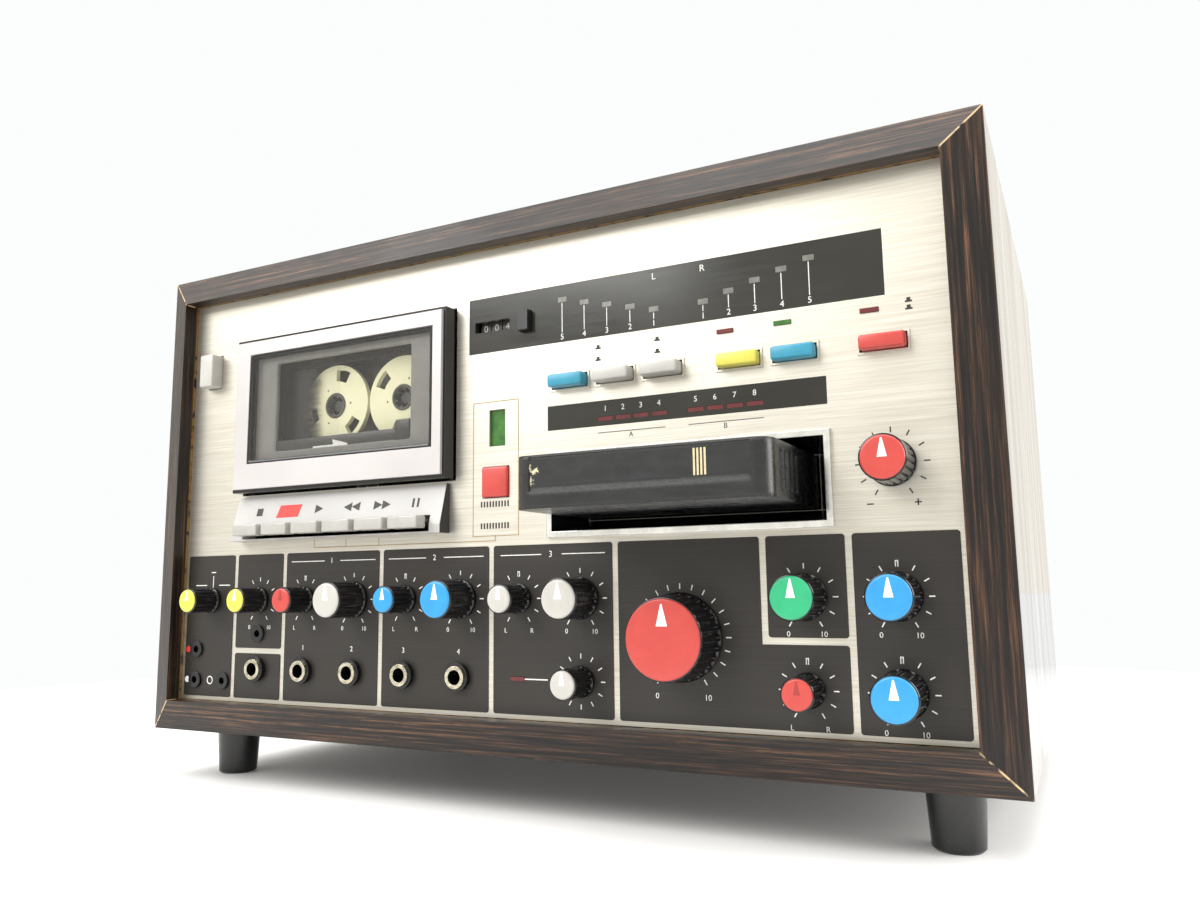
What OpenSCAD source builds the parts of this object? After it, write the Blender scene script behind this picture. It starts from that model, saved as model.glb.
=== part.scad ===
// Eight track and cassette player with microphone mixer, in a wooden table cabinet.
// +Z is up, the front looks along -Y. The origin is on the ground, under the middle
// of the whole player. Panel features are placed by x and by height over the
// underside of the cabinet.

/* [Cabinet] */
// Width of the cabinet
case_w = 420; // [410:1:480]
// Height of the cabinet, without its feet
case_h = 240; // [238:1:280]
// Depth of the side boards
case_d = 278; // [250:1:360]
// Thickness of the boards
board_t = 15; // [12:0.5:18]
// How far the front edges lean forward at their inner side
edge_lean = 5.8; // [2:0.1:8]
// Height of a foot
foot_h = 25; // [12:1:40]
// Diameter of a foot at the ground
foot_d = 19; // [14:0.5:26]
// Diameter of a foot at the cabinet
foot_top_d = 22; // [16:0.5:30]
// Distance of the feet from the sides of the cabinet
foot_inset_x = 28; // [20:1:60]
// Distance of the feet from the front and the back of the cabinet
foot_inset_y = 31; // [20:1:60]
// Length of a rear bumper
bumper_h = 8; // [4:0.5:12]
// Diameter of a rear bumper
bumper_d = 11; // [8:0.5:12]

/* [Front panel] */
// Thickness of the aluminium panel
panel_t = 2; // [1.5:0.1:3]
// Distance of the panel face behind the outer front edge
panel_recess = 2.9; // [1:0.1:8]
// Thickness of the dark legend plates
plate_t = 0.3; // [0.2:0.1:0.8]
// Corner radius of the legend plates
plate_r = 1.2; // [0.5:0.1:3]
// Top edge of the legend plates
plate_top = 88.5; // [86:0.5:90]
// Bottom edge of the legend plates
plate_bottom = 17.3; // [16:0.1:20]
// Bare metal line between two legend plates
plate_gap = 2.6; // [1.5:0.1:4]
// Bare metal beside the outer legend plates
plate_side = 2.2; // [1:0.1:4]

/* [Knobs] */
// Coloured cap of a small knob
small_cap_d = 11.2; // [9:0.1:13]
// Skirt of a small knob
small_skirt_d = 13; // [12:0.1:15]
// Reach of a small knob in front of the panel
small_knob_h = 16.6; // [12:0.1:20]
// Coloured cap of a large knob
large_cap_d = 15.5; // [13:0.1:17]
// Skirt of a large knob
large_skirt_d = 17.5; // [16:0.1:19]
// Reach of a large knob in front of the panel
large_knob_h = 19.5; // [15:0.1:24]
// Coloured cap of the master knob
master_cap_d = 30.6; // [26:0.1:32]
// Skirt of the master knob
master_skirt_d = 34.6; // [33:0.1:38]
// Reach of the master knob in front of the panel
master_knob_h = 19.2; // [15:0.1:24]
// Height of the upper row of knobs
knob_row_z = 65.7; // [60:0.1:72]
// Height of the lower row of knobs
knob_low_z = 32; // [30:0.1:36]
// Diameter of a control shaft
shaft_d = 6; // [4:0.5:6]
// Radial clearance between a knob and its shaft
shaft_fit = 0.05; // [0.02:0.01:0.1]
// Diameter of the threaded neck of a control
neck_d = 7; // [6.5:0.1:8]
// Diameter of the body of a control
control_d = 16; // [14:0.5:17]
// Depth of the body of a control
control_h = 9; // [6:0.5:14]

/* [Push buttons] */
// Width of a bar button
bar_w = 16.8; // [14:0.1:18]
// Height of a bar button
bar_h = 5.5; // [4:0.1:8]
// Height of the row of bar buttons
bar_row_z = 158.1; // [156:0.1:160]
// Clearance round a button
button_gap = 0.35; // [0.3:0.05:0.6]
// Width of the rim round a bar button
rim_w = 0.8; // [0.5:0.1:1.2]
// Height of the rim round a bar button
rim_h = 0.5; // [0.3:0.1:1]
// Travel of a bar button
bar_travel = 3; // [2:0.5:4]
// Width and height of the square select button
select_w = 13.4; // [11:0.1:14]
// Reach of the square select button in front of the panel
select_out = 1.6; // [1:0.1:4]
// Width of the source button at the left
source_w = 9.4; // [8:0.1:11]
// Height of the source button at the left
source_h = 17.4; // [14:0.1:20]
// Reach of the source button in front of the panel
source_out = 6.9; // [4:0.1:9]

/* [Cassette deck] */
// Left edge of the cassette door
door_left = -154.7; // [-158:0.1:-150]
// Width of the cassette door
door_w = 132.9; // [125:0.1:136]
// Lower edge of the cassette door
door_bottom = 119.5; // [119:0.1:123]
// Height of the cassette door
door_h = 79.2; // [76:0.1:84]
// Reach of the cassette door in front of the panel
door_out = 8.9; // [7:0.1:11]
// Wall of the cassette door
door_wall = 1.6; // [1.2:0.1:2.5]
// Dark border round the silver plate of the door
door_border = 1.6; // [1:0.1:3]
// How far the silver plate stands proud of the door
door_plate_t = 1.5; // [1:0.1:2.5]
// Plate of the door to the left of its window
window_side_left = 10.55; // [5:0.05:14]
// Plate of the door to the right of its window
window_side_right = 6.55; // [5:0.05:14]
// Plate of the door over its window
window_side_top = 8.45; // [5:0.05:14]
// Plate of the door under its window
window_side_low = 14.25; // [10:0.05:18]
// Height of the door hinge over the lower edge of the door
hinge_up = 3; // [2.5:0.1:4]
// Distance of the door hinge behind the panel face
hinge_in = 1; // [0.5:0.1:2]
// Diameter of the hinge pins
hinge_pin_d = 2.6; // [2:0.1:3]
// Space between the cassette and the right edge of the door
pocket_side = 5.2; // [5:0.1:6]
// Height of the cassette reels
reel_z = 161.7; // [161:0.1:164]
// Distance of the cassette behind the panel face
cassette_in = 2; // [1.5:0.1:3]

/* [Cassette] */
// Width of a compact cassette
cassette_w = 100.4; // [100:0.1:101]
// Height of a compact cassette
cassette_h = 63.8; // [63:0.1:64]
// Thickness of a compact cassette
cassette_t = 12; // [11:0.1:12.1]
// Distance between the reels of a compact cassette
reel_pitch = 42.5; // [42.4:0.1:42.6]
// Diameter of a reel disc
reel_d = 41.8; // [38:0.1:42]
// Height of the reels over the head side of the cassette
reel_up = 34.3; // [34:0.1:35]
// Hole in a reel hub
hub_hole_d = 10.4; // [10:0.1:11]
// Diameter of a drive spindle
spindle_d = 5.6; // [5:0.1:6]

/* [Keys] */
// Length of the key housing to the left of the slot for the keys
housing_side_left = 8; // [6:0.1:9]
// Length of the key housing to the right of the slot for the keys
housing_side_right = 6.2; // [5:0.1:7]
// Upper edge of the key housing
housing_top = 117.5; // [116:0.1:117.6]
// Lower edge of the key housing
housing_bottom = 95; // [93:0.1:95.5]
// Reach of the key housing at its upper edge
housing_out_top = 2.2; // [1.5:0.1:2.4]
// Reach of the key housing at its lower edge
housing_out_low = 7.2; // [6:0.1:9]
// Number of keys
key_count = 6; // [6:1:6]
// Left edge of the first key
key_left = -146; // [-147:0.1:-144]
// Width of a key
key_w = 16.5; // [14:0.1:17]
// Distance from one key to the next
key_pitch = 19.6; // [18.5:0.1:20]
// Height of the white key cap
key_cap_h = 5.6; // [5:0.1:7]
// Lower edge of the white key cap
key_cap_z = 97.2; // [96.5:0.1:98]
// Reach of the keys in front of the panel
key_out = 15; // [13:0.1:18]
// Thickness of a key lever
key_lever_t = 2; // [1.5:0.1:2.2]
// Distance of the key pivot behind the panel face
key_pivot_in = 42; // [36:1:50]
// Height of the key pivot
key_pivot_z = 99; // [98:0.1:100]
// Diameter of the key pivot rod
key_rod_d = 4; // [3:0.1:5]

/* [Cartridge slot] */
// Middle of the slot
slot_x = 88.3; // [87:0.1:90]
// Height of the middle of the slot
slot_z = 109.5; // [108:0.1:110]
// Width of the chrome frame of the slot
slot_w = 122; // [118:0.1:124]
// Height of the chrome frame of the slot
slot_h = 36.6; // [34:0.1:38]
// Width of the rail of the chrome frame
slot_rim = 2.5; // [2:0.1:4]
// Reach of the chrome frame in front of the panel
slot_out = 1.5; // [1:0.1:3]
// Depth of the funnel behind the frame
funnel_d = 20; // [14:1:26]
// Width of an eight track cartridge
cart_w = 101.6; // [101:0.1:102]
// Length of an eight track cartridge
cart_l = 133.4; // [130:0.1:136]
// Thickness of an eight track cartridge
cart_t = 20.4; // [20:0.1:22]
// Length of cartridge that stays in front of the panel
cart_out = 44; // [38:0.5:52]
// Clearance round the cartridge
cart_gap = 0.6; // [0.4:0.1:1]

/* [Displays] */
// Space between the cassette door and the level strip
level_side = 7.8; // [5:0.1:9]
// Right edge of the level strip
level_right = 171.7; // [168:0.1:180]
// Lower edge of the level strip
level_bottom = 176; // [174:0.1:178]
// Height of the level strip
level_h = 25.6; // [24:0.1:28]
// Left edge of the program strip
program_left = 27.5; // [26:0.1:29]
// Width of the program strip
program_w = 121.1; // [118:0.1:124]
// Lower edge of the program strip
program_bottom = 137.3; // [136:0.1:139]
// Height of the program strip
program_h = 10.6; // [9:0.1:12]
// Thickness of the display strips
strip_t = 2; // [1.5:0.1:2.5]
// Width of a level lamp
level_lamp_w = 4.4; // [3:0.1:5]
// Height of a level lamp
level_lamp_h = 2.3; // [1.5:0.1:3]
// Width of a bar lamp
bar_lamp_w = 6.8; // [5:0.1:7.5]
// Height of a bar lamp
bar_lamp_h = 1.7; // [1.2:0.1:2.5]
// Width of the green display
green_w = 8.4; // [7:0.1:10]
// Height of the green display
green_h = 16.5; // [14:0.1:18]

/* [Jacks] */
// Hole of a large jack
jack_hole_d = 6.5; // [6.3:0.1:6.7]
// Collar of a large jack
jack_collar_d = 12.4; // [11:0.1:14]
// Height of the row of large jacks
jack_row_z = 31.8; // [30:0.1:34]
// Hole of a small jack
mini_hole_d = 3.6; // [3.4:0.1:3.8]
// Collar of a small jack
mini_collar_d = 8.2; // [7:0.1:9]

/* [Drive] */
// Diameter of the flywheel
flywheel_d = 66; // [50:1:70]
// Thickness of the flywheel
flywheel_t = 12; // [8:0.5:14]
// Diameter of the capstan
capstan_d = 3.2; // [2.5:0.1:4]
// Diameter of the motor
motor_d = 36; // [30:1:38]
// Height of the motor
motor_h = 32; // [24:1:40]

/* [Rear] */
// Width of a cooling slot
vent_w = 60; // [30:1:80]
// Height of a cooling slot
vent_h = 4; // [3:0.5:6]
// Distance from one cooling slot to the next
vent_pitch = 10; // [8:0.5:14]
// Rows of cooling slots
vent_rows = 7; // [3:1:9]
// Width of the opening for the mains inlet
inlet_w = 28; // [24:0.5:30]
// Height of the opening for the mains inlet
inlet_h = 20; // [18:0.5:22]
// Distance of the mains inlet from the side of the cabinet
inlet_side = 90; // [60:1:120]
// Height of the mains inlet
inlet_z = 50; // [40:1:70]
// Depth of the mains inlet behind the rear cover
inlet_d = 16; // [12:0.5:24]
// Wall of the mains inlet
inlet_wall = 3; // [2:0.1:4]
// Width of the flange of the mains inlet
inlet_flange = 4; // [3:0.5:6]
// Thickness of the flange of the mains inlet
inlet_flange_t = 1.8; // [1:0.1:3]
// Distance between the two pins of the mains inlet
inlet_pin_pitch = 10; // [8:0.5:14]
// Diameter of a pin of the mains inlet
inlet_pin_d = 2.4; // [2:0.1:3]
// Diameter of a cover screw
screw_d = 3.5; // [3:0.5:4]
// Length of a cover screw
screw_l = 12; // [8:1:14]
// Diameter of the head of a cover screw
screw_head_d = 7; // [6:0.5:8]
// Distance of the cover screws from the side boards
screw_edge = 7; // [6:0.5:10]
// Distance of the end screws from the top and the underside of the cabinet
screw_end = 28; // [24:1:40]
// Distance of the bumpers from the top and the underside of the cabinet
bumper_end = 30; // [20:1:50]

/* [Inside] */
// Width of the circuit board
pcb_w = 250; // [150:5:260]
// Depth of the circuit board
pcb_l = 160; // [100:5:180]
// Height of the circuit board over the cabinet's underside
pcb_z = 22; // [20:0.5:30]
// Thickness of the circuit board
pcb_t = 1.6; // [1.2:0.1:2.4]
// Middle of the circuit board
pcb_x = -50; // [-60:1:-40]
// Distance of the circuit board behind the panel face
pcb_in = 50; // [44:1:60]
// Diameter of a spacer under the circuit board
spacer_d = 7; // [5:0.5:10]
// Distance of the spacers from the edges of the circuit board
spacer_edge = 8; // [6:0.5:12]
// Diameter of a large capacitor
capacitor_d = 14; // [10:0.5:20]
// Height of a large capacitor
capacitor_h = 26; // [16:1:40]
// Distance from one capacitor to the next
capacitor_pitch = 45; // [30:1:50]
// Length of a chip
chip_l = 20; // [16:0.5:30]
// Width of a chip
chip_w = 8; // [6:0.5:12]
// Height of a chip
chip_h = 5; // [3:0.5:7]
// Distance from one chip to the next
chip_pitch = 38; // [32:1:40]
// Length of the cooling plate of the amplifier
cooler_l = 70; // [40:1:100]
// Thickness of the cooling plate
cooler_t = 4; // [2:0.5:6]
// Height of the cooling plate
cooler_h = 30; // [20:1:50]
// Width of the transformer
tx_w = 72; // [50:1:80]
// Depth of the transformer's core
tx_d = 36; // [24:1:44]
// Height of the transformer
tx_h = 60; // [40:1:70]
// Distance of the transformer's middle from the side of the cabinet
tx_side = 70; // [56:1:80]
// Distance of the transformer's middle from the rear edges
tx_back = 80; // [60:1:100]
// How far the coil stands out of the core at each end
coil_out = 10; // [6:0.5:16]
// Clearance between the coil and the core
coil_gap = 0.6; // [0.3:0.1:1]

/* [Hidden] */
$fn = 96;
tiny = 0.01;
board_gap = 0.3;

// Heights and depths that follow from the sizes above
case_z = foot_h;
case_y = (cart_out - panel_recess - case_d - bumper_h) / 2;
panel_y = case_y + panel_recess;
rear_y = case_y + case_d;
inner_w = case_w - 2 * board_t;
inner_h = case_h - 2 * board_t;
panel_w = inner_w - 2 * board_gap;
panel_h = inner_h - 2 * board_gap;
back_t = 4;
back_inset = 3;
back_y = rear_y - back_inset - back_t;
cleat_t = 6;
front_cleat_d = 12;
rear_cleat_w = 14;
rear_cleat_d = 12;
screw_head_h = 1.8;
screw_rows = [screw_end, case_h / 2, case_h - screw_end];
screw_at = [for (sx = [-1, 1], z = screw_rows) [sx * (inner_w / 2 - screw_edge), z]];
inlet_x = case_w / 2 - inlet_side;
tx_x = case_w / 2 - tx_side;
pcb_y = panel_y + pcb_in;
tx_y = rear_y - tx_back;

// Controls: x, height over the cabinet's underside, size, and colour of the cap
SMALL = 0;
LARGE = 1;
MASTER = 2;
cap_d = [small_cap_d, large_cap_d, master_cap_d];
skirt_d = [small_skirt_d, large_skirt_d, master_skirt_d];
knob_h = [small_knob_h, large_knob_h, master_knob_h];
flute_count = [12, 14, 24];
flute_d = [1.6, 1.8, 2.2];
flute_depth = 0.6;
red = "#ec5a50";
blue = "#2f9be6";
yellow = "#f0f060";
white = "#e4e2dc";
green = "#2fbf74";
knob_at = [
    [-174, knob_row_z, SMALL, yellow], [-140.4, knob_row_z, SMALL, yellow],
    [-110, knob_row_z, SMALL, red], [-79.2, knob_row_z, LARGE, white],
    [-48.5, knob_row_z, SMALL, blue], [-17.8, knob_row_z, LARGE, blue],
    [12.7, knob_row_z, SMALL, white], [42.7, knob_row_z, LARGE, white],
    [42.7, knob_low_z, SMALL, white], [87.3, 50.5, MASTER, red],
    [137, knob_row_z, LARGE, green], [170.6, knob_row_z, LARGE, blue],
    [137, knob_low_z, SMALL, red], [170.6, knob_low_z, LARGE, blue],
    [171, 113.4, LARGE, red]
];
knob_gap = plate_t + 0.3;
knob_wall_top = 3.5;

// Legend plates: left, bottom, right, top; one plate has an arm to the right
plate_mid = 40.6;
arm_top = 48.2;
echo_bottom = arm_top + plate_gap;
plate_end = panel_w / 2 - plate_side;
plate_edges = [-plate_end, -157.6, -124, -62.9, -1.5, 59, 121.4, 153.9, plate_end];
function left_of(i) = plate_edges[i] + (i == 0 ? 0 : plate_gap / 2);
function right_of(i) = plate_edges[i + 1] - (i == 7 ? 0 : plate_gap / 2);
plates = [
    [left_of(0), plate_bottom, right_of(0), plate_top],
    [left_of(1), plate_mid + plate_gap / 2, right_of(1), plate_top],
    [left_of(1), plate_bottom, right_of(1), plate_mid - plate_gap / 2],
    [left_of(2), plate_bottom, right_of(2), plate_top],
    [left_of(3), plate_bottom, right_of(3), plate_top],
    [left_of(4), plate_bottom, right_of(4), plate_top],
    [left_of(6), echo_bottom, right_of(6), plate_top],
    [left_of(7), plate_bottom, right_of(7), plate_top]
];

// Bar buttons: x, reach in front of the panel, colour
cyan = "#3aa3c0";
bar_at = [
    [38.6, 5.8, cyan], [60.3, 6.5, white], [82.1, 6.5, white],
    [114.8, 4.6, "#f2df4e"], [137.1, 5, cyan], [170.3, 4.8, "#ee4a3f"]
];
bar_tail = bar_travel + 6;
door_right = door_left + door_w;
select_x = door_right + 22.4;
select_z = 116.7;
select_travel = 1;
source_x = -179.4;
source_z = 186.7;
source_travel = 4;
level_left = door_right + level_side;
level_w = level_right - level_left;
counter_x = level_left + 12.5;
reset_x = counter_x + 18;
reset_z = 187.8;
reset_w = 5.2;
reset_h = 9;
reset_out = 3.4;
reset_travel = 2.4;
tail_d = 4;

// Cassette door and deck
door_x = door_left + door_w / 2;
door_z = door_bottom + door_h / 2;
door_gap = 0.8;
hinge_z = door_bottom + hinge_up;
hinge_fit = 0.05;
opening_w = door_w + 2 * door_gap;
opening_h = door_h + 2 * door_gap;
window_w = door_w - window_side_left - window_side_right;
window_h = door_h - window_side_low - window_side_top;
window_x = door_left + window_side_left + window_w / 2;
window_z = door_bottom + window_side_low + window_h / 2;
window_lip = 2;
window_t = 1.6;
cassette_gap = 0.4;
cassette_x = door_right - pocket_side - cassette_w / 2;
cassette_bottom = reel_z - reel_up;
cassette_back_in = cassette_in + cassette_t;
rail_t = 1.6;
rail_h = 46;
rail_low = 1;
rail_back_in = cassette_back_in + 0.5;
deck_plate_in = rail_back_in + 1;
deck_plate_t = 2;
deck_wall = 2;
deck_w = opening_w + 2 * deck_wall;
deck_h = opening_h + 2 * deck_wall;
deck_floor = door_bottom - door_gap;
lug_w = 3;
lug_d = 5;
lug_back_in = 10;
lug_gap = 0.6;
lug_x = door_w / 2 - door_wall - 0.4 - lug_w / 2;
spindle_in = cassette_back_in - 7;
reel_t = 3;
hub_h = 7;
hub_d = 14;

// Keys
key_slot_left = key_left - 1;
key_slot_w = key_pitch * (key_count - 1) + key_w + 2;
key_slot_top = key_cap_z + key_cap_h + 0.4;
key_slot_bottom = housing_bottom + 0.9;
housing_left = key_slot_left - housing_side_left;
housing_w = key_slot_w + housing_side_left + housing_side_right;
key_lever_z = key_cap_z + key_cap_h - key_lever_t - 0.2;
key_cap_in = housing_out_low + 0.8;
key_lever_w = 8;
key_hub_d = key_rod_d + 4;

// Slot, cartridge and drive
mouth_w = slot_w - 2 * slot_rim;
mouth_h = slot_h - 2 * slot_rim;
sleeve_wall = 3;
cart_z = slot_z + 0.5;
sleeve_w = cart_w + 2 * cart_gap;
sleeve_h = cart_t + 2 * cart_gap;
cart_in = cart_l - cart_out;
sleeve_end = cart_in + 1;
notch_w = 16;
notch_l = 12;
capstan_x = slot_x - 30;
capstan_in = cart_in - 9.5;
capstan_fit = 0.05;
floor_top = cart_z - sleeve_h / 2;
floor_z = floor_top - sleeve_wall;
flywheel_z = floor_z - flywheel_t - 3;
strap_t = 2;
strap_z = flywheel_z - 2 - strap_t;
strap_reach = flywheel_d / 2 + 3;
motor_x = capstan_x + flywheel_d / 2 + motor_d / 2 + 8;
motor_plate_t = 1.5;
motor_plate_z = flywheel_z - motor_plate_t;
pulley_d = 11;
leg_w = 5;
leg_d = 10;
motor_shaft_d = 2;

// Displays
lamp_gap = 0.1;
lamp_depth = 7;
flange = 1.5;
flange_t = 1;
lamp_pitch_x = 10.9;
lamp_pitch_z = 2.7;
lamp_mid_side = 82.3;
lamp_mid_x = level_right - lamp_mid_side;
lamp_first_x = 10.9;
lamp_first_z = 184.3;
lamps_per_side = 5;
program_first = [55.4, 96];
program_pitch = 8.2;
program_lamp_z = 140.2;
status_at = [[109.3, 170.6], [132.7, 170.8], [165.8, 170.9]];
tune_lamp_x = 12.2;
green_x = door_right + 23.1;
green_z = 141;
green_in = 1.6;
counter_z = 188.1;
counter_w = 18.7;
counter_h = 4.9;
drum_d = 15;
drum_in = strip_t + flange_t + drum_d / 2 + 0.8;
drum_axle_d = 2;
drum_ear_t = 1.2;
drum_ear_x = counter_w / 2 + 1;
drum_ear_h = 10;

// Jacks
jack_x = [-141, -110.4, -79.9, -49.2, -18.6];
mini_at = [[-140.5, 49.1], [-183.6, 40.7], [-183.9, 25.3], [-164, 25.3]];
jack_out = 3.4;
jack_ring_d = 9.8;
jack_depth = 30;
jack_body = 14;
jack_neck_d = 9;
mini_out = 1.2;
mini_body = 9;
mini_depth = 14;
mini_neck_d = 6;

// Puts children on the panel face: x to the right, y up, z out towards the user
module at_panel(x, z) {
    translate([x, panel_y, case_z + z]) rotate([90, 0, 0]) children();
}

// A box on the panel, centred on x and z, from z = from to z = to along the outward way
module panel_box(x, z, w, h, from, to) {
    at_panel(x, z) translate([-w / 2, -h / 2, from]) cube([w, h, to - from]);
}

// A flat plate with round corners, centred, from plain shapes so that its corners are true arcs
module arc_rect(w, h, r) {
    square([w - 2 * r, h], center = true);
    square([w, h - 2 * r], center = true);
    for (sx = [-1, 1], sy = [-1, 1])
        translate([sx * (w / 2 - r), sy * (h / 2 - r)]) circle(r);
}

// One mitred board: a strip of length along x, with its front edge leaning forward
module board(length) {
    intersection() {
        rotate([90, 0, 90]) translate([0, 0, -length / 2]) linear_extrude(length)
            polygon([[case_y, 0], [rear_y, 0], [rear_y, -board_t], [case_y - edge_lean, -board_t]]);
        translate([0, rear_y + 1, 0]) rotate([90, 0, 0]) linear_extrude(case_d + edge_lean + 2)
            polygon([[-length / 2, 0], [length / 2, 0], [length / 2 - board_t, -board_t],
                     [board_t - length / 2, -board_t]]);
    }
}

// Four mitred boards glued to one carcass, with the strips that the panels rest on
module case() {
    color("#4a332b") {
        translate([0, 0, case_z + case_h]) board(case_w);
        translate([0, 0, case_z]) mirror([0, 0, 1]) board(case_w);
        for (side = [0, 1]) mirror([side, 0, 0])
            translate([case_w / 2, 0, case_z + case_h / 2]) rotate([0, 90, 0]) board(case_h);
        for (side = [0, 1]) mirror([side, 0, 0])
            translate([inner_w / 2 - cleat_t, panel_y + panel_t, case_z + board_t])
                cube([cleat_t + tiny, front_cleat_d, inner_h]);
        difference() {
            for (side = [0, 1]) mirror([side, 0, 0])
                translate([inner_w / 2 - rear_cleat_w, back_y - rear_cleat_d, case_z + board_t])
                    cube([rear_cleat_w + tiny, rear_cleat_d, inner_h]);
            for (at = screw_at)
                translate([at[0], back_y + 1, case_z + at[1]]) rotate([90, 0, 0])
                    cylinder(d = screw_d + 0.1, h = rear_cleat_d + 2);
        }
    }
}

// Rear cover with rows of cooling slots and the opening for the mains inlet
module back_panel() {
    color("#6b5a48") difference() {
        translate([-panel_w / 2, back_y, case_z + board_t + board_gap]) cube([panel_w, back_t, panel_h]);
        for (column = [-1, 0, 1], row = [0 : vent_rows - 1])
            translate([column * (vent_w + 20), back_y + back_t / 2, case_z + 110 + row * vent_pitch])
                rotate([90, 0, 0]) translate([0, 0, -back_t]) linear_extrude(2 * back_t)
                    arc_rect(vent_w, vent_h, 1.5);
        translate([inlet_x - inlet_w / 2, back_y - 1, case_z + inlet_z - inlet_h / 2])
            cube([inlet_w, back_t + 2, inlet_h]);
        for (at = screw_at)
            translate([at[0], back_y - 1, case_z + at[1]]) rotate([-90, 0, 0])
                cylinder(d = screw_d + 0.4, h = back_t + 2, $fn = 32);
    }
}

// Round head screws that hold the rear cover on the strips
module screws() {
    color("#8c8a84") for (at = screw_at)
        translate([at[0], back_y + back_t, case_z + at[1]]) rotate([90, 0, 0]) {
            cylinder(d = screw_d, h = screw_l);
            translate([0, 0, -screw_head_h]) difference() {
                cylinder(d = screw_head_d, h = screw_head_h);
                for (turn = [0, 90]) rotate(turn)
                    translate([-1.9, -0.4, -1]) cube([3.8, 0.8, 1.8]);
            }
        }
}

// Holes through the panel for the shafts' necks and for the jacks' necks
module neck_holes(length) {
    for (k = knob_at)
        at_panel(k[0], k[1]) translate([0, 0, -length]) cylinder(d = neck_d + 0.2, h = 2 * length);
    for (x = jack_x)
        at_panel(x, jack_row_z) translate([0, 0, -length]) cylinder(d = jack_neck_d + 0.2, h = 2 * length);
    for (at = mini_at)
        at_panel(at[0], at[1]) translate([0, 0, -length]) cylinder(d = mini_neck_d + 0.2, h = 2 * length);
}

// Brushed aluminium front with every opening and the rims of the buttons
module front_panel() {
    color("#cfc9bb") difference() {
        union() {
            panel_box(0, case_h / 2, panel_w, panel_h, -panel_t, 0);
            for (b = bar_at)
                panel_box(b[0], bar_row_z, bar_w + 2 * (button_gap + rim_w),
                          bar_h + 2 * (button_gap + rim_w), -tiny, rim_h);
        }
        neck_holes(3);
        for (b = bar_at)
            panel_box(b[0], bar_row_z, bar_w + 2 * button_gap, bar_h + 2 * button_gap, -3, 3);
        panel_box(select_x, select_z, select_w + 2 * button_gap, select_w + 2 * button_gap, -3, 3);
        panel_box(source_x, source_z, source_w + 2 * button_gap, source_h + 2 * button_gap, -3, 3);
        panel_box(green_x, green_z, green_w, green_h, -3, 3);
        panel_box(door_x, door_z, opening_w, opening_h, -3, 3);
        panel_box(key_slot_left + key_slot_w / 2, (key_slot_top + key_slot_bottom) / 2, key_slot_w,
                  key_slot_top - key_slot_bottom, -3, 3);
        panel_box(slot_x, slot_z, slot_w - slot_rim, slot_h - slot_rim, -3, 3);
        panel_box(level_left + level_w / 2, level_bottom + level_h / 2, level_w + 2 * lamp_gap,
                  level_h + 2 * lamp_gap, -3, 3);
        panel_box(program_left + program_w / 2, program_bottom + program_h / 2, program_w + 2 * lamp_gap,
                  program_h + 2 * lamp_gap, -3, 3);
        for (at = status_at)
            panel_box(at[0], at[1], bar_lamp_w + 2 * lamp_gap, bar_lamp_h + 2 * lamp_gap, -3, 3);
        panel_box(tune_lamp_x, knob_low_z, bar_lamp_w + 2 * lamp_gap, bar_lamp_h + 2 * lamp_gap, -3, 3);
    }
}

// Dark plates under the controls; the master plate has an arm under the echo plate
module legend_plates() {
    color("#55524c") difference() {
        union() {
            for (p = plates)
                at_panel((p[0] + p[2]) / 2, (p[1] + p[3]) / 2) linear_extrude(plate_t)
                    arc_rect(p[2] - p[0], p[3] - p[1], plate_r);
            at_panel((left_of(5) + right_of(5)) / 2, (plate_bottom + plate_top) / 2)
                linear_extrude(plate_t) arc_rect(right_of(5) - left_of(5), plate_top - plate_bottom, plate_r);
            at_panel((left_of(5) + right_of(6)) / 2, (plate_bottom + arm_top) / 2)
                linear_extrude(plate_t) arc_rect(right_of(6) - left_of(5), arm_top - plate_bottom, plate_r);
        }
        neck_holes(3);
        panel_box(tune_lamp_x, knob_low_z, bar_lamp_w + 2 * lamp_gap, bar_lamp_h + 2 * lamp_gap, -3, 3);
    }
}

// x of a level lamp, counted from the middle; side is -1 or 1
function level_lamp_x(side, i) = lamp_mid_x + side * (lamp_first_x + i * lamp_pitch_x);
function level_lamp_z(i) = lamp_first_z + i * lamp_pitch_z;

// Runs children at every lamp of the smoked strips, with the lamp's width and height
module strip_lamps(grow, from, to) {
    for (side = [-1, 1], i = [0 : lamps_per_side - 1])
        panel_box(level_lamp_x(side, i), level_lamp_z(i), level_lamp_w + grow, level_lamp_h + grow, from, to);
    for (first = program_first, i = [0 : 3])
        panel_box(first + i * program_pitch, program_lamp_z, bar_lamp_w + grow, bar_lamp_h + grow, from, to);
}

// One smoked strip: it fills its opening, and a flange holds it behind the panel
module strip(left, bottom, w, h) {
    panel_box(left + w / 2, bottom + h / 2, w, h, -strip_t, 0);
    panel_box(left + w / 2, bottom + h / 2, w + 2 * flange, h + 2 * flange, -max(strip_t, panel_t) - flange_t,
              -max(strip_t, panel_t));
}

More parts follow.
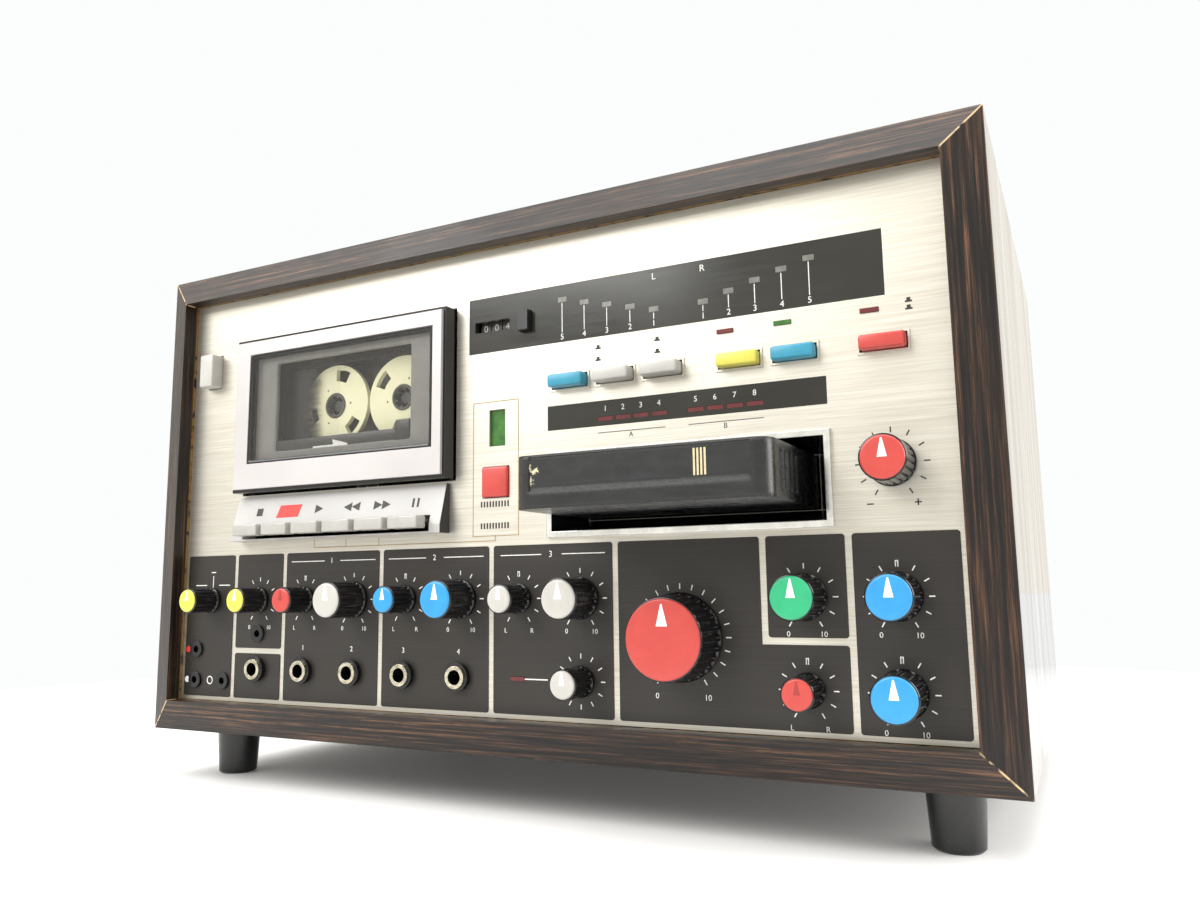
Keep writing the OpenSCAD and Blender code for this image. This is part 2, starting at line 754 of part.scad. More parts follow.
// The two strips, with the ears behind the level strip that carry the axle of the counter
module display_strips() {
    strip_back = max(strip_t, panel_t) + flange_t;
    color("#3f403c") difference() {
        union() {
            strip(level_left, level_bottom, level_w, level_h);
            strip(program_left, program_bottom, program_w, program_h);
            for (side = [-1, 1])
                panel_box(counter_x + side * (drum_ear_x + drum_ear_t / 2), counter_z, drum_ear_t, drum_ear_h,
                          -drum_in - 3, -strip_back + tiny);
        }
        strip_lamps(2 * lamp_gap, -6, 3);
        panel_box(counter_x, counter_z, counter_w, counter_h, -6, 3);
        panel_box(reset_x, reset_z, reset_w + 2 * button_gap, reset_h + 2 * button_gap, -6, 3);
        at_panel(counter_x, counter_z) translate([-counter_w, 0, -drum_in]) rotate([0, 90, 0])
            cylinder(d = drum_axle_d + 0.1, h = 2 * counter_w);
    }
}

// Level lamps, program lamps, status lamps, tuning lamp and the green display
module lamps() {
    color("#6a2c2c") {
        strip_lamps(0, -lamp_depth, -0.05);
        for (at = status_at)
            panel_box(at[0], at[1], bar_lamp_w, bar_lamp_h, -lamp_depth, 0.5);
        panel_box(tune_lamp_x, knob_low_z, bar_lamp_w, bar_lamp_h, -lamp_depth, 0.6);
    }
    color("#5c8a4c") {
        panel_box(green_x, green_z, green_w - 0.2, green_h - 0.2, -lamp_depth, -green_in);
        panel_box(green_x, green_z, green_w + 4, green_h + 4, -lamp_depth, -panel_t);
    }
}

// Chrome frame of the cartridge slot with the black funnel behind it
module slot_bezel() {
    color("#b9bbbc") difference() {
        union() {
            panel_box(slot_x, slot_z, slot_w, slot_h, 0, slot_out);
            panel_box(slot_x, slot_z, slot_w - slot_rim - 0.4, slot_h - slot_rim - 0.4, -funnel_d, tiny);
        }
        hull() {
            panel_box(slot_x, slot_z, mouth_w, mouth_h, slot_out - 1, slot_out + 1);
            panel_box(slot_x, cart_z, sleeve_w, sleeve_h, -funnel_d - 1, -funnel_d + 1);
        }
    }
}

// Sheet metal sleeve that guides the cartridge, with the flywheel strap and the motor plate
module cartridge_deck() {
    y0 = panel_y + funnel_d;
    y1 = panel_y + sleeve_end;
    outer_w = sleeve_w + 2 * sleeve_wall;
    color("#8f8d86") difference() {
        union() {
            translate([slot_x - outer_w / 2, y0, case_z + floor_z])
                cube([outer_w, y1 - y0 + sleeve_wall, sleeve_h + 2 * sleeve_wall]);
            for (y = [-strap_reach - strap_t, strap_reach])
                translate([capstan_x - 8, panel_y + capstan_in + y, case_z + strap_z])
                    cube([16, strap_t, floor_z - strap_z + tiny]);
            translate([capstan_x - 8, panel_y + capstan_in - strap_reach - strap_t, case_z + strap_z])
                cube([16, 2 * strap_reach + 2 * strap_t, strap_t]);
            translate([motor_x - motor_d / 2, panel_y + capstan_in - motor_d / 2 - 4, case_z + motor_plate_z])
                cube([motor_d, motor_d + 4, motor_plate_t]);
            translate([motor_x - motor_d / 2, panel_y + capstan_in - motor_d / 2 - 4, case_z + motor_plate_z])
                cube([motor_d, strap_t, floor_z - motor_plate_z + tiny]);
        }
        translate([slot_x - sleeve_w / 2, y0 - 1, case_z + floor_top])
            cube([sleeve_w, y1 - y0 + 1, sleeve_h]);
        translate([capstan_x, panel_y + capstan_in, case_z + strap_z - 1])
            cylinder(d = capstan_d + 2 * capstan_fit, h = floor_top - strap_z + 2);
        translate([motor_x, panel_y + capstan_in, case_z + motor_plate_z - 1])
            cylinder(d = motor_shaft_d + 1, h = 4);
        translate([slot_x - 9, y1 - 1, case_z + floor_top + 2]) cube([18, sleeve_wall + 2, sleeve_h - 4]);
    }
    color("#8f8d86") for (x = [capstan_x + flywheel_d / 2 + 2, slot_x + outer_w / 2 - leg_w])
        translate([x, y1 - leg_d, case_z + board_t]) cube([leg_w, leg_d, floor_z - board_t + tiny]);
}

// Steel flywheel with the capstan that turns the tape of the cartridge
module flywheel() {
    color("#9a9a96") translate([capstan_x, panel_y + capstan_in, case_z]) {
        translate([0, 0, strap_z + 0.3]) cylinder(d = capstan_d, h = cart_z + sleeve_h / 2 - 3 - strap_z);
        translate([0, 0, flywheel_z]) difference() {
            cylinder(d = flywheel_d, h = flywheel_t);
            translate([0, 0, -tiny]) cylinder(d = flywheel_d - 16, h = flywheel_t - 5);
        }
        translate([0, 0, strap_z + strap_t + 0.3]) cylinder(d = 9, h = flywheel_z - strap_z);
    }
}

// Motor under its plate
module drive_motor() {
    color("#a8a6a0") translate([motor_x, panel_y + capstan_in, case_z + motor_plate_z]) {
        translate([0, 0, -motor_h]) cylinder(d = motor_d, h = motor_h);
        translate([0, 0, -motor_h - 4]) cylinder(d = 12, h = 4 + tiny);
    }
}

// Belt pulley on the motor's shaft
module motor_pulley() {
    color("#c2a24a") translate([motor_x, panel_y + capstan_in, case_z + motor_plate_z + motor_plate_t + 0.3]) {
        rotate_extrude()
            polygon([[0, 0], [pulley_d / 2, 0], [pulley_d / 2, 2], [pulley_d / 2 - 1.5, 3.5],
                     [pulley_d / 2 - 1.5, 6.5], [pulley_d / 2, 8], [pulley_d / 2, 10], [0, 10]]);
        translate([0, 0, -1.5]) cylinder(d = motor_shaft_d, h = 2);
    }
}

// Playback head of the cartridge side and record head of the cassette side
module tape_heads() {
    color("#c8c4b8") {
        translate([slot_x - 7, panel_y + cart_in - 6, case_z + cart_z - 7])
            cube([14, sleeve_end - cart_in + 6 + sleeve_wall + 6, 14]);
        translate([slot_x - 13, panel_y + sleeve_end + sleeve_wall, case_z + cart_z - 9]) cube([26, 6, 18]);
        translate([cassette_x - 7, panel_y + rail_back_in - 9, case_z + door_bottom - door_gap])
            cube([14, 9, cassette_bottom - rail_t - 1.4 - door_bottom + door_gap]);
    }
}

// Eight track cartridge: rounded front, ribbed sides and the notches of its inner end
module cartridge() {
    front_r = 6;
    rib_l = 3;
    rib_pitch = 6;
    color("#2f3134") difference() {
        translate([slot_x, panel_y - cart_out, case_z + cart_z]) {
            translate([0, cart_l / 2, 0])
                translate([0, 0, -cart_t / 2]) linear_extrude(cart_t) union() {
                    translate([0, front_r / 2]) square([cart_w, cart_l - front_r], center = true);
                    translate([0, -cart_l / 2 + front_r / 2 + tiny])
                        square([cart_w - 2 * front_r, front_r + 2 * tiny], center = true);
                    for (s = [-1, 1]) translate([s * (cart_w / 2 - front_r), front_r - cart_l / 2])
                        circle(front_r);
                }
        }
        for (s = [-1, 1], i = [0 : 3])
            translate([slot_x + s * cart_w / 2, panel_y - cart_out + 12 + i * rib_pitch, case_z + cart_z - 7])
                translate([-1, 0, 0]) cube([2, rib_l, 14]);
        translate([slot_x, panel_y - cart_out - tiny, case_z + cart_z + 2])
            translate([-cart_w / 2 + 7, 0, -5.6]) cube([cart_w - 14, 0.5, 13]);
        for (x = [capstan_x, slot_x])
            translate([x - notch_w / 2 - 1, panel_y + cart_in - notch_l, case_z + cart_z - cart_t])
                cube([notch_w + 2, notch_l + 1, 2 * cart_t]);
    }
    color("#20201e") translate([capstan_x, panel_y + cart_in - notch_l - 6, case_z + cart_z - 7])
        cylinder(d = 12.4, h = 14);
}

// Box behind the cassette door: walls, spindle plate, hinge lugs, key rod and its cheeks
module cassette_deck() {
    key_cheek_x = key_slot_w / 2 + 4;
    key_mid = key_slot_left + key_slot_w / 2;
    color("#3a3a38") {
        difference() {
            union() {
                difference() {
                    panel_box(door_x, door_z, deck_w, deck_h, -deck_plate_in - deck_plate_t, -panel_t);
                    panel_box(door_x, door_z, opening_w, opening_h, -deck_plate_in, 1);
                }
                for (side = [-1, 1]) {
                    panel_box(door_x + side * lug_x, (deck_floor + hinge_z) / 2, lug_w,
                              hinge_z - deck_floor + tiny, -lug_back_in, -panel_t - 0.3);
                    panel_box(door_x + side * lug_x, hinge_z, lug_w, lug_d, -lug_back_in, -hinge_in);
                    at_panel(door_x + side * lug_x, hinge_z) translate([-lug_w / 2, 0, -hinge_in])
                        rotate([0, 90, 0]) cylinder(d = lug_d, h = lug_w);
                }
            }
            for (side = [-1, 1])
                at_panel(door_x + side * lug_x, hinge_z) translate([-lug_w, 0, -hinge_in]) rotate([0, 90, 0])
                    cylinder(d = hinge_pin_d + 2 * hinge_fit, h = 2 * lug_w);
            for (s = [-1, 1])
                at_panel(cassette_x + s * reel_pitch / 2, reel_z)
                    translate([0, 0, -deck_plate_in - deck_plate_t - 1])
                        cylinder(d = spindle_d + 0.1, h = deck_plate_t + 2);
        }
        for (side = [-1, 1])
            panel_box(key_mid + side * key_cheek_x, (key_pivot_z - 6 + deck_floor) / 2, 2,
                      deck_floor - key_pivot_z + 6, -key_pivot_in - 6, -panel_t);
        panel_box(key_mid, deck_floor - deck_wall, 2 * key_cheek_x + 2, 2 * deck_wall,
                  -key_pivot_in - 6, -panel_t);
        at_panel(key_mid, key_pivot_z) translate([-key_cheek_x - 1, 0, -key_pivot_in]) rotate([0, 90, 0])
            cylinder(d = key_rod_d, h = 2 * key_cheek_x + 2);
    }
}

// Drive spindle: shaft in the deck plate and a finned nose inside the reel hub
module spindle(s) {
    nose = deck_plate_in - spindle_in;
    color("#d8d4c8") at_panel(cassette_x + s * reel_pitch / 2, reel_z)
        translate([0, 0, -deck_plate_in - deck_plate_t - 4]) {
            cylinder(d = spindle_d, h = nose + deck_plate_t + 4);
            cylinder(d = 14, h = 3.7);
            for (turn = [0, 120, 240]) rotate(turn)
                translate([spindle_d / 2 - 0.5, -0.5, deck_plate_t + 4.5]) cube([1, 1, nose - 1.5]);
        }
}

module left_spindle() { spindle(-1); }
module right_spindle() { spindle(1); }

// Open reel inside the cassette: a disc with three openings and a toothed hub
module reel(s) {
    color("#f0eaa8") at_panel(cassette_x + s * reel_pitch / 2, reel_z) difference() {
        translate([0, 0, -cassette_in - cassette_t / 2 - hub_h / 2]) union() {
            cylinder(d = hub_d, h = hub_h);
            translate([0, 0, hub_h - reel_t]) cylinder(d = reel_d, h = reel_t);
        }
        translate([0, 0, -cassette_in - cassette_t]) cylinder(d = hub_hole_d, h = cassette_t);
        for (turn = [0, 120, 240]) rotate(turn + 90)
            translate([13, 0, -cassette_in - cassette_t]) cylinder(d = 5.5, h = cassette_t);
    }
}

module left_reel() { reel(-1); }
module right_reel() { reel(1); }

// Cassette shell: two half walls with a hollow for the reels and the thick head side
module cassette_shell() {
    wall = 1.3;
    head_h = 15;
    head_wide = 66;
    head_narrow = 58;
    slim = 1.2;
    color("#77766f") at_panel(cassette_x, reel_z) difference() {
        union() {
            translate([-cassette_w / 2, -reel_up, -cassette_in - cassette_t + slim])
                cube([cassette_w, cassette_h, cassette_t - 2 * slim]);
            translate([0, -reel_up + head_h / 2, -cassette_in - cassette_t / 2])
                linear_extrude(cassette_t, center = true)
                    polygon([[-head_wide / 2, -head_h / 2], [head_wide / 2, -head_h / 2],
                             [head_narrow / 2, head_h / 2], [-head_narrow / 2, head_h / 2]]);
        }
        translate([-cassette_w / 2 + wall, -reel_d / 2 - 0.4,
                   -cassette_in - cassette_t / 2 - hub_h / 2 - 0.3])
            cube([cassette_w - 2 * wall, reel_d + 0.8, hub_h + 0.6]);
        for (s = [-1, 1]) translate([s * reel_pitch / 2, 0, -cassette_in - cassette_t - 1])
            cylinder(d = hub_hole_d + 0.8, h = cassette_t + 2);
        translate([-cassette_w / 2 + 8, -reel_d / 2, -cassette_in - slim - 1])
            cube([cassette_w - 16, reel_d, slim + 2]);
    }
}

// Door shell with its silver plate, the window opening, hinge pins and cassette pocket
module cassette_door() {
    rail_x = cassette_w / 2 + cassette_gap + rail_t / 2;
    shelf_top = cassette_bottom - 0.3;
    skin = 2.4;
    color("#d9d7d2") difference() {
        union() {
            difference() {
                panel_box(door_x, door_z, door_w, door_h, 0.3, door_out - door_plate_t);
                panel_box(door_x, door_z, door_w - 2 * door_wall, door_h - 2 * door_wall, -1,
                          door_out - door_plate_t - skin);
                for (side = [-1, 1])
                    panel_box(door_x + side * lug_x, hinge_z, lug_w + 2 * (lug_gap - 0.2),
                              lug_d + 2 * lug_gap, -1, lug_d / 2 - hinge_in + lug_gap);
            }
            panel_box(door_x, door_z, door_w - 2 * door_border, door_h - 2 * door_border,
                      door_out - door_plate_t - tiny, door_out);
            for (side = [-1, 1])
                panel_box(cassette_x + side * rail_x, cassette_bottom - rail_low + rail_h / 2, rail_t, rail_h,
                          -rail_back_in, door_out - door_plate_t - 1);
            panel_box(cassette_x, shelf_top - rail_t / 2, cassette_w, rail_t, -rail_back_in,
                      door_out - door_plate_t - 1);
            for (side = [-1, 1]) mirror([side < 0 ? 1 : 0, 0, 0])
                at_panel(side * door_x + door_w / 2 - door_wall - lug_w - 0.4, hinge_z)
                    translate([0, 0, -hinge_in]) rotate([0, 90, 0])
                        cylinder(d = hinge_pin_d, h = lug_w + 0.4 + door_wall);
            for (side = [-1, 1])
                panel_box(door_x + side * (door_w / 2 - door_wall / 2), hinge_z, door_wall, 4,
                          -hinge_in - 1.5, 1);
        }
        panel_box(window_x, window_z, window_w - 2 * window_lip, window_h - 2 * window_lip, -1, door_out + 1);
        panel_box(window_x, window_z, window_w, window_h, door_out - window_t - 0.2, door_out + 1);
    }
}

// Smoked window, set into the plate of the door
module door_window() {
    color("#4a4944") panel_box(window_x, window_z, window_w - 0.3, window_h - 0.3,
                               door_out - window_t - 0.2, door_out - 0.2);
}

// Sloping housing over the keys, with the long slot that the key levers come through
module key_housing() {
    profile = [[0, housing_top], [-housing_out_top, housing_top], [-housing_out_low, housing_bottom + 4],
               [-housing_out_low, housing_bottom], [0, housing_bottom]];
    color("#d6d4cf") difference() {
        translate([housing_left, panel_y, case_z]) rotate([90, 0, 90])
            linear_extrude(housing_w) polygon(profile);
        panel_box(key_slot_left + key_slot_w / 2, (key_slot_top + key_slot_bottom) / 2, key_slot_w,
                  key_slot_top - key_slot_bottom, -1, housing_out_low + 1);
    }
}

// One key: a white cap in front, a lever through the slot and a hub on the pivot rod
module key(i) {
    x = key_left + key_pitch * i + key_w / 2;
    color(white) {
        panel_box(x, key_cap_z + key_cap_h / 2, key_w, key_cap_h, key_cap_in, key_out);
        difference() {
            union() {
                panel_box(x, key_lever_z + key_lever_t / 2, key_lever_w, key_lever_t, -key_pivot_in,
                          key_cap_in + tiny);
                at_panel(x, key_pivot_z) translate([-key_lever_w / 2, 0, -key_pivot_in]) rotate([0, 90, 0])
                    cylinder(d = key_hub_d, h = key_lever_w);
            }
            at_panel(x, key_pivot_z) translate([-key_w / 2, 0, -key_pivot_in]) rotate([0, 90, 0])
                cylinder(d = key_rod_d + 0.1, h = key_w);
        }
    }
}

module stop_key() { key(0); }
module record_key() { key(1); }
module play_key() { key(2); }
module rewind_key() { key(3); }
module forward_key() { key(4); }
module pause_key() { key(5); }

// One knob: fluted skirt that narrows to the cap, with the bore for the shaft
module knob(i) {
    size = knob_at[i][2];
    h = knob_h[size];
    skirt_r = skirt_d[size] / 2;
    cap_r = cap_d[size] / 2;
    top_r = cap_r + 0.5;
    color(knob_at[i][3]) at_panel(knob_at[i][0], knob_at[i][1]) difference() {
        rotate_extrude() polygon([[0, knob_gap], [skirt_r, knob_gap], [skirt_r, knob_gap + 1.6],
            [skirt_r - 0.3, knob_gap + 2], [top_r, h - 0.8], [top_r - 0.4, h - 0.4], [cap_r, h - 0.4],
            [cap_r, h], [0, h]]);
        for (turn = [0 : flute_count[size] - 1]) rotate(turn * 360 / flute_count[size])
            translate([skirt_r - flute_depth + flute_d[size] / 2, 0, knob_gap + 2.6])
                cylinder(d = flute_d[size], h = h, $fn = 24);
        translate([0, 0, -1]) cylinder(d = shaft_d + 2 * shaft_fit, h = h - knob_wall_top + 1.3);
    }
}

module mode_knob() { knob(0); }
module earphone_knob() { knob(1); }
module pan_1_knob() { knob(2); }
module mic_1_knob() { knob(3); }
module pan_2_knob() { knob(4); }
module mic_2_knob() { knob(5); }
module pan_3_knob() { knob(6); }
module mic_3_knob() { knob(7); }
module tuning_knob() { knob(8); }
module master_knob() { knob(9); }
module echo_knob() { knob(10); }
module treble_knob() { knob(11); }
module balance_knob() { knob(12); }
module bass_knob() { knob(13); }
module speed_knob() { knob(14); }

// Rotary controls behind the panel: body, threaded neck and shaft
module controls() {
    color("#a3a19a") for (k = knob_at)
        at_panel(k[0], k[1]) {
            translate([0, 0, -panel_t - control_h]) cylinder(d = control_d, h = control_h);
            translate([0, 0, -panel_t - tiny]) cylinder(d = neck_d, h = panel_t + plate_t);
            cylinder(d = shaft_d, h = knob_h[k[2]] - knob_wall_top);
        }
}

// Large jacks with a bright ring in a black collar, and four small black jacks
module jacks() {
    color("#c9c4b4") for (x = jack_x)
        at_panel(x, jack_row_z) difference() {
            union() {
                translate([0, 0, plate_t]) cylinder(d = jack_collar_d, h = jack_out - 1);
                translate([0, 0, plate_t]) cylinder(d = jack_ring_d, h = jack_out);
                translate([0, 0, -panel_t - tiny]) cylinder(d = jack_neck_d, h = panel_t + plate_t + 1);
                translate([-jack_body / 2, -jack_body / 2, -panel_t - jack_depth])
                    cube([jack_body, jack_body, jack_depth]);
            }
            translate([0, 0, -panel_t - jack_depth + 2]) cylinder(d = jack_hole_d, h = 2 * jack_depth);
        }
    color("#2a2a2a") for (at = mini_at)
        at_panel(at[0], at[1]) difference() {
            union() {
                translate([0, 0, plate_t]) cylinder(d = mini_collar_d, h = mini_out);
                translate([0, 0, -panel_t - tiny]) cylinder(d = mini_neck_d, h = panel_t + plate_t + 0.5);
                translate([-mini_body / 2, -mini_body / 2, -panel_t - mini_depth])
                    cube([mini_body, mini_body, mini_depth]);
            }
            translate([0, 0, -panel_t - mini_depth + 2]) cylinder(d = mini_hole_d, h = 2 * mini_depth);
        }
}

// One bar button: cap through its rim and a tail behind the panel
module bar_button(i) {
    b = bar_at[i];
    color(b[2]) {
        panel_box(b[0], bar_row_z, bar_w, bar_h, -panel_t - 2, b[1]);
        panel_box(b[0], bar_row_z, tail_d, tail_d, -panel_t - bar_tail, -panel_t - 2 + tiny);
    }
}

module audition_button() { bar_button(0); }
module tape_button() { bar_button(1); }
module track_button() { bar_button(2); }
module cue_button() { bar_button(3); }
module start_button() { bar_button(4); }
module power_button() { bar_button(5); }

module select_button() {
    color("#ea4a3c") panel_box(select_x, select_z, select_w, select_w,
                               -panel_t - select_travel - 1, select_out);
}

module source_button() {
    color("#f2f0ea") panel_box(source_x, source_z, source_w, source_h,
                               -panel_t - source_travel, source_out);
}

module counter_reset() {
    color("#1c1c1e") panel_box(reset_x, reset_z, reset_w, reset_h,
                               -panel_t - reset_travel - 1, reset_out);
}

// Three number drums on one axle
module counter_drums() {
    drum_w = 5.4;
    color("#e8e6de") at_panel(counter_x, counter_z) translate([0, 0, -drum_in]) rotate([0, 90, 0]) {
        translate([0, 0, -drum_ear_x - drum_ear_t])
            cylinder(d = drum_axle_d, h = 2 * (drum_ear_x + drum_ear_t));
        for (i = [-1, 0, 1])
            translate([0, 0, i * (drum_w + 0.5) - drum_w / 2]) cylinder(d = drum_d, h = drum_w);
    }
}

// Circuit board on spacers, with rows of capacitors and chips and the amplifier's cooling plate
module main_board() {
    top = pcb_z + pcb_t - tiny;
    row_left = 20 - pcb_w / 2;
    color("#5d7a3c") translate([pcb_x, pcb_y, case_z]) {
        translate([-pcb_w / 2, 0, pcb_z]) cube([pcb_w, pcb_l, pcb_t]);
        for (sx = [-1, 1], y = [spacer_edge, pcb_l - spacer_edge])
            translate([sx * (pcb_w / 2 - spacer_edge), y, board_t])
                cylinder(d = spacer_d, h = pcb_z - board_t + tiny);
        for (i = [0 : 4])
            translate([row_left + 5 + i * capacitor_pitch, pcb_l / 4, top])
                cylinder(d = capacitor_d, h = capacitor_h);
        for (i = [0 : 5])
            translate([row_left + i * chip_pitch, pcb_l * 9 / 16, top]) cube([chip_l, chip_w, chip_h]);
        translate([-30, pcb_l * 25 / 32, top]) cube([cooler_l, cooler_t, cooler_h]);
    }
}

// Mains transformer: laminated core with its coil, on two feet
module transformer() {
    limb = tx_w / 6;
    color("#7c776c") translate([tx_x, tx_y, case_z + board_t]) {
        difference() {
            translate([-tx_w / 2, -tx_d / 2, 0]) cube([tx_w, tx_d, tx_h]);
            for (s = [-1, 1]) translate([s * tx_w / 4 - limb / 2, -tx_d, limb])
                cube([limb, 2 * tx_d, tx_h - 2 * limb]);
        }
        translate([-tx_w / 4 - limb / 2 + coil_gap, -tx_d / 2 - coil_out, limb + coil_gap])
            cube([tx_w / 2 + limb - 2 * coil_gap, tx_d + 2 * coil_out, tx_h - 2 * limb - 2 * coil_gap]);
    }
}

// Recessed mains inlet with its two pins
module mains_inlet() {
    body = [inlet_w - 0.4, inlet_d + back_t, inlet_h - 0.4];
    hollow = [inlet_w - 2 * inlet_wall, inlet_d + 2 * back_t, inlet_h - 2 * inlet_wall];
    plate = [inlet_w + 2 * inlet_flange, inlet_flange_t, inlet_h + 2 * inlet_flange];
    color("#232323") translate([inlet_x, back_y, case_z + inlet_z]) {
        difference() {
            union() {
                translate([-body[0] / 2, -inlet_d, -body[2] / 2]) cube(body);
                translate([-plate[0] / 2, back_t, -plate[2] / 2]) cube(plate);
            }
            translate([-hollow[0] / 2, inlet_wall - inlet_d, -hollow[2] / 2]) cube(hollow);
        }
        for (s = [-1, 1])
            translate([s * inlet_pin_pitch / 2, inlet_wall - inlet_d - tiny, 0]) rotate([-90, 0, 0])
                cylinder(d = inlet_pin_d, h = inlet_d - 4);
    }
}

// Four tapered rubber feet below and four rubber bumpers on the rear edges
module feet() {
    color("#1b1b1b") {
        for (sx = [-1, 1], y = [case_y + foot_inset_y, rear_y - foot_inset_y])
            translate([sx * (case_w / 2 - foot_inset_x), y, 0])
                rotate_extrude()
                    polygon([[0, 0], [foot_d / 2 - 1, 0], [foot_d / 2, 1],
                             [foot_top_d / 2, foot_h], [0, foot_h]]);
        for (sx = [-1, 1], z = [bumper_end, case_h - bumper_end])
            translate([sx * (case_w / 2 - board_t / 2), rear_y, case_z + z]) rotate([-90, 0, 0])
                cylinder(d = bumper_d, h = bumper_h);
    }
}

case();
back_panel();
front_panel();
legend_plates();
display_strips();
lamps();
slot_bezel();
cartridge_deck();
cassette_deck();
key_housing();
feet();
screws();
jacks();
controls();
main_board();
transformer();
mains_inlet();
drive_motor();
flywheel();
motor_pulley();
tape_heads();
counter_drums();
stop_key();
record_key();
play_key();
rewind_key();
forward_key();
pause_key();
mode_knob();
earphone_knob();
pan_1_knob();
mic_1_knob();
pan_2_knob();
mic_2_knob();
pan_3_knob();
mic_3_knob();
tuning_knob();
master_knob();
echo_knob();
treble_knob();
balance_knob();
bass_knob();
speed_knob();
audition_button();
tape_button();
track_button();
cue_button();
start_button();
power_button();
select_button();
source_button();
counter_reset();
cassette_door();
door_window();
cassette_shell();
left_reel();
right_reel();
left_spindle();
right_spindle();
cartridge();
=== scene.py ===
"""Looks of an eight track and cassette player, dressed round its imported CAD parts.

Sizes are in millimetres and become metres only when a mesh is made. A place on the front is
given as x, the height z over the cabinet's underside, and the reach in front of the panel.
"""
import math

import bmesh
import bpy
import numpy as np
from mathutils import Matrix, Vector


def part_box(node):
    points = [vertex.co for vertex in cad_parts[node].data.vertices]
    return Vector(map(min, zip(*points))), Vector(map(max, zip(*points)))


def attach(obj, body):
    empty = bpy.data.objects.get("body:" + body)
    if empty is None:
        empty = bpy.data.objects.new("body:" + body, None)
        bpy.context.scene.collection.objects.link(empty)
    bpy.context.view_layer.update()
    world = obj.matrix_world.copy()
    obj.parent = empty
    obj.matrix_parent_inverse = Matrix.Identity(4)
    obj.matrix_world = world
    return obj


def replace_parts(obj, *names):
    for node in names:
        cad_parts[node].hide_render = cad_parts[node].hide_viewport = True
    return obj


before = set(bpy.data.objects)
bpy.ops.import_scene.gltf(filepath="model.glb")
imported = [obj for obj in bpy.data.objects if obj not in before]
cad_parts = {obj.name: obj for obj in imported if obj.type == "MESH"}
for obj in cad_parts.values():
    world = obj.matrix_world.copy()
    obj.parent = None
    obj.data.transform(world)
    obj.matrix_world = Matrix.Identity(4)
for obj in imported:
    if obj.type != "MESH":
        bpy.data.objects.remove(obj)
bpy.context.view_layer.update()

MM = 0.001
FOOT = 25.0
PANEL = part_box("legend_plates")[1].y / MM  # y of the panel's face
CASE_LOW, CASE_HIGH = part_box("case")
HALF_WIDTH = CASE_HIGH.x / MM
HALF_HEIGHT = (CASE_HIGH.z - CASE_LOW.z) / 2 / MM
MID_HEIGHT = (CASE_LOW.z + CASE_HIGH.z) / 2 / MM
BOARD_IN = 14.7  # from the case's outer face to just inside a board's inner face
PLATE = 0.3  # thickness of the legend plates
DOOR_PLATE = 1.48  # thickness of the silver plate on the cassette door
BEZEL_RAIL = 2.45  # width of the bright rail round the cartridge slot
RING_PROUD = 0.95  # how far a socket's ring stands in front of its collar
LEVEL_LAMPS_OVER, STATUS_LAMPS_OVER, DISPLAY_OVER = 182, 160, 120  # each group of lamps lies over this height
GREEN_LAMP_LEFT, GREEN_LAMP_RIGHT, DISPLAY_RIGHT = 127.5, 138.5, 9.5
INK = 0.05  # thickness of a print
LETTER = 0.7  # height of a capital as a share of the font's size


# ---------------------------------------------------------------- meshes

def on_panel(points):
    """x, height and reach to x, y and z: y is the panel's face less the reach, z adds the feet."""
    points = np.asarray(points, float)
    return np.stack([points[:, 0], PANEL - points[:, 2], points[:, 1] + FOOT], axis=1)


def joined(shapes):
    """Several (points, faces) pairs as one, each one's face numbers moved up past the points before it."""
    points, faces, count = [], [], 0
    for p, f in shapes:
        points.append(np.asarray(p, float))
        faces += [tuple(int(i) + count for i in face) for face in f]
        count += len(p)
    return np.concatenate(points), faces


def piece(name, shape, finish, body, smooth=None):
    """A shown object from points in millimetres of the row frame; normals are made to look outwards."""
    points, faces = shape
    mesh = bpy.data.meshes.new(name)
    mesh.from_pydata((np.asarray(points) * MM).tolist(), [], faces)
    shell = bmesh.new()
    shell.from_mesh(mesh)
    bmesh.ops.recalc_face_normals(shell, faces=shell.faces)
    shell.to_mesh(mesh)
    shell.free()
    mesh.materials.append(finish)
    if smooth:
        mesh.shade_smooth()
        mesh.set_sharp_from_angle(angle=math.radians(smooth))
    thing = bpy.data.objects.new(name, mesh)
    bpy.context.scene.collection.objects.link(thing)
    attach(thing, body)
    return thing


def block(low, high, r, steps=3):
    """A box with round edges: the points of a sphere of radius r, pushed apart along each axis by the box's flat
    half sizes."""
    low, high = np.asarray(low, float), np.asarray(high, float)
    t = np.tan(np.linspace(-math.pi / 4, math.pi / 4, 2 * steps))
    u, v = np.meshgrid(t, t, indexing="ij")
    sheets, faces, k = [], [], 2 * steps
    for axis in range(3):
        for side in (-1.0, 1.0):
            d = np.zeros((k * k, 3))
            d[:, axis] = side
            d[:, (axis + 1) % 3] = u.ravel()
            d[:, (axis + 2) % 3] = v.ravel()
            d /= np.linalg.norm(d, axis=1, keepdims=True)
            base = len(sheets) * k * k
            for i in range(k - 1):
                for j in range(k - 1):
                    a = base + i * k + j
                    quad = (a, a + k, a + k + 1, a + 1)
                    faces.append(quad if side > 0 else quad[::-1])
            sheets.append(d)
    d = np.concatenate(sheets)
    half = (high - low) / 2 - r
    points = (low + high) / 2 + np.sign(d) * half + r * d
    _, first, same = np.unique(np.round(points, 5), axis=0, return_index=True, return_inverse=True)
    same = np.asarray(same).ravel()
    return points[first], [tuple(same[i] for i in f) for f in faces]


def panel_block(x, z, w, h, start, end, r, steps=3):
    """A rounded block on the panel, centred on x and z, that reaches from start to end."""
    z += FOOT
    return block((x - w / 2, PANEL - end, z - h / 2), (x + w / 2, PANEL - start, z + h / 2), r, steps)


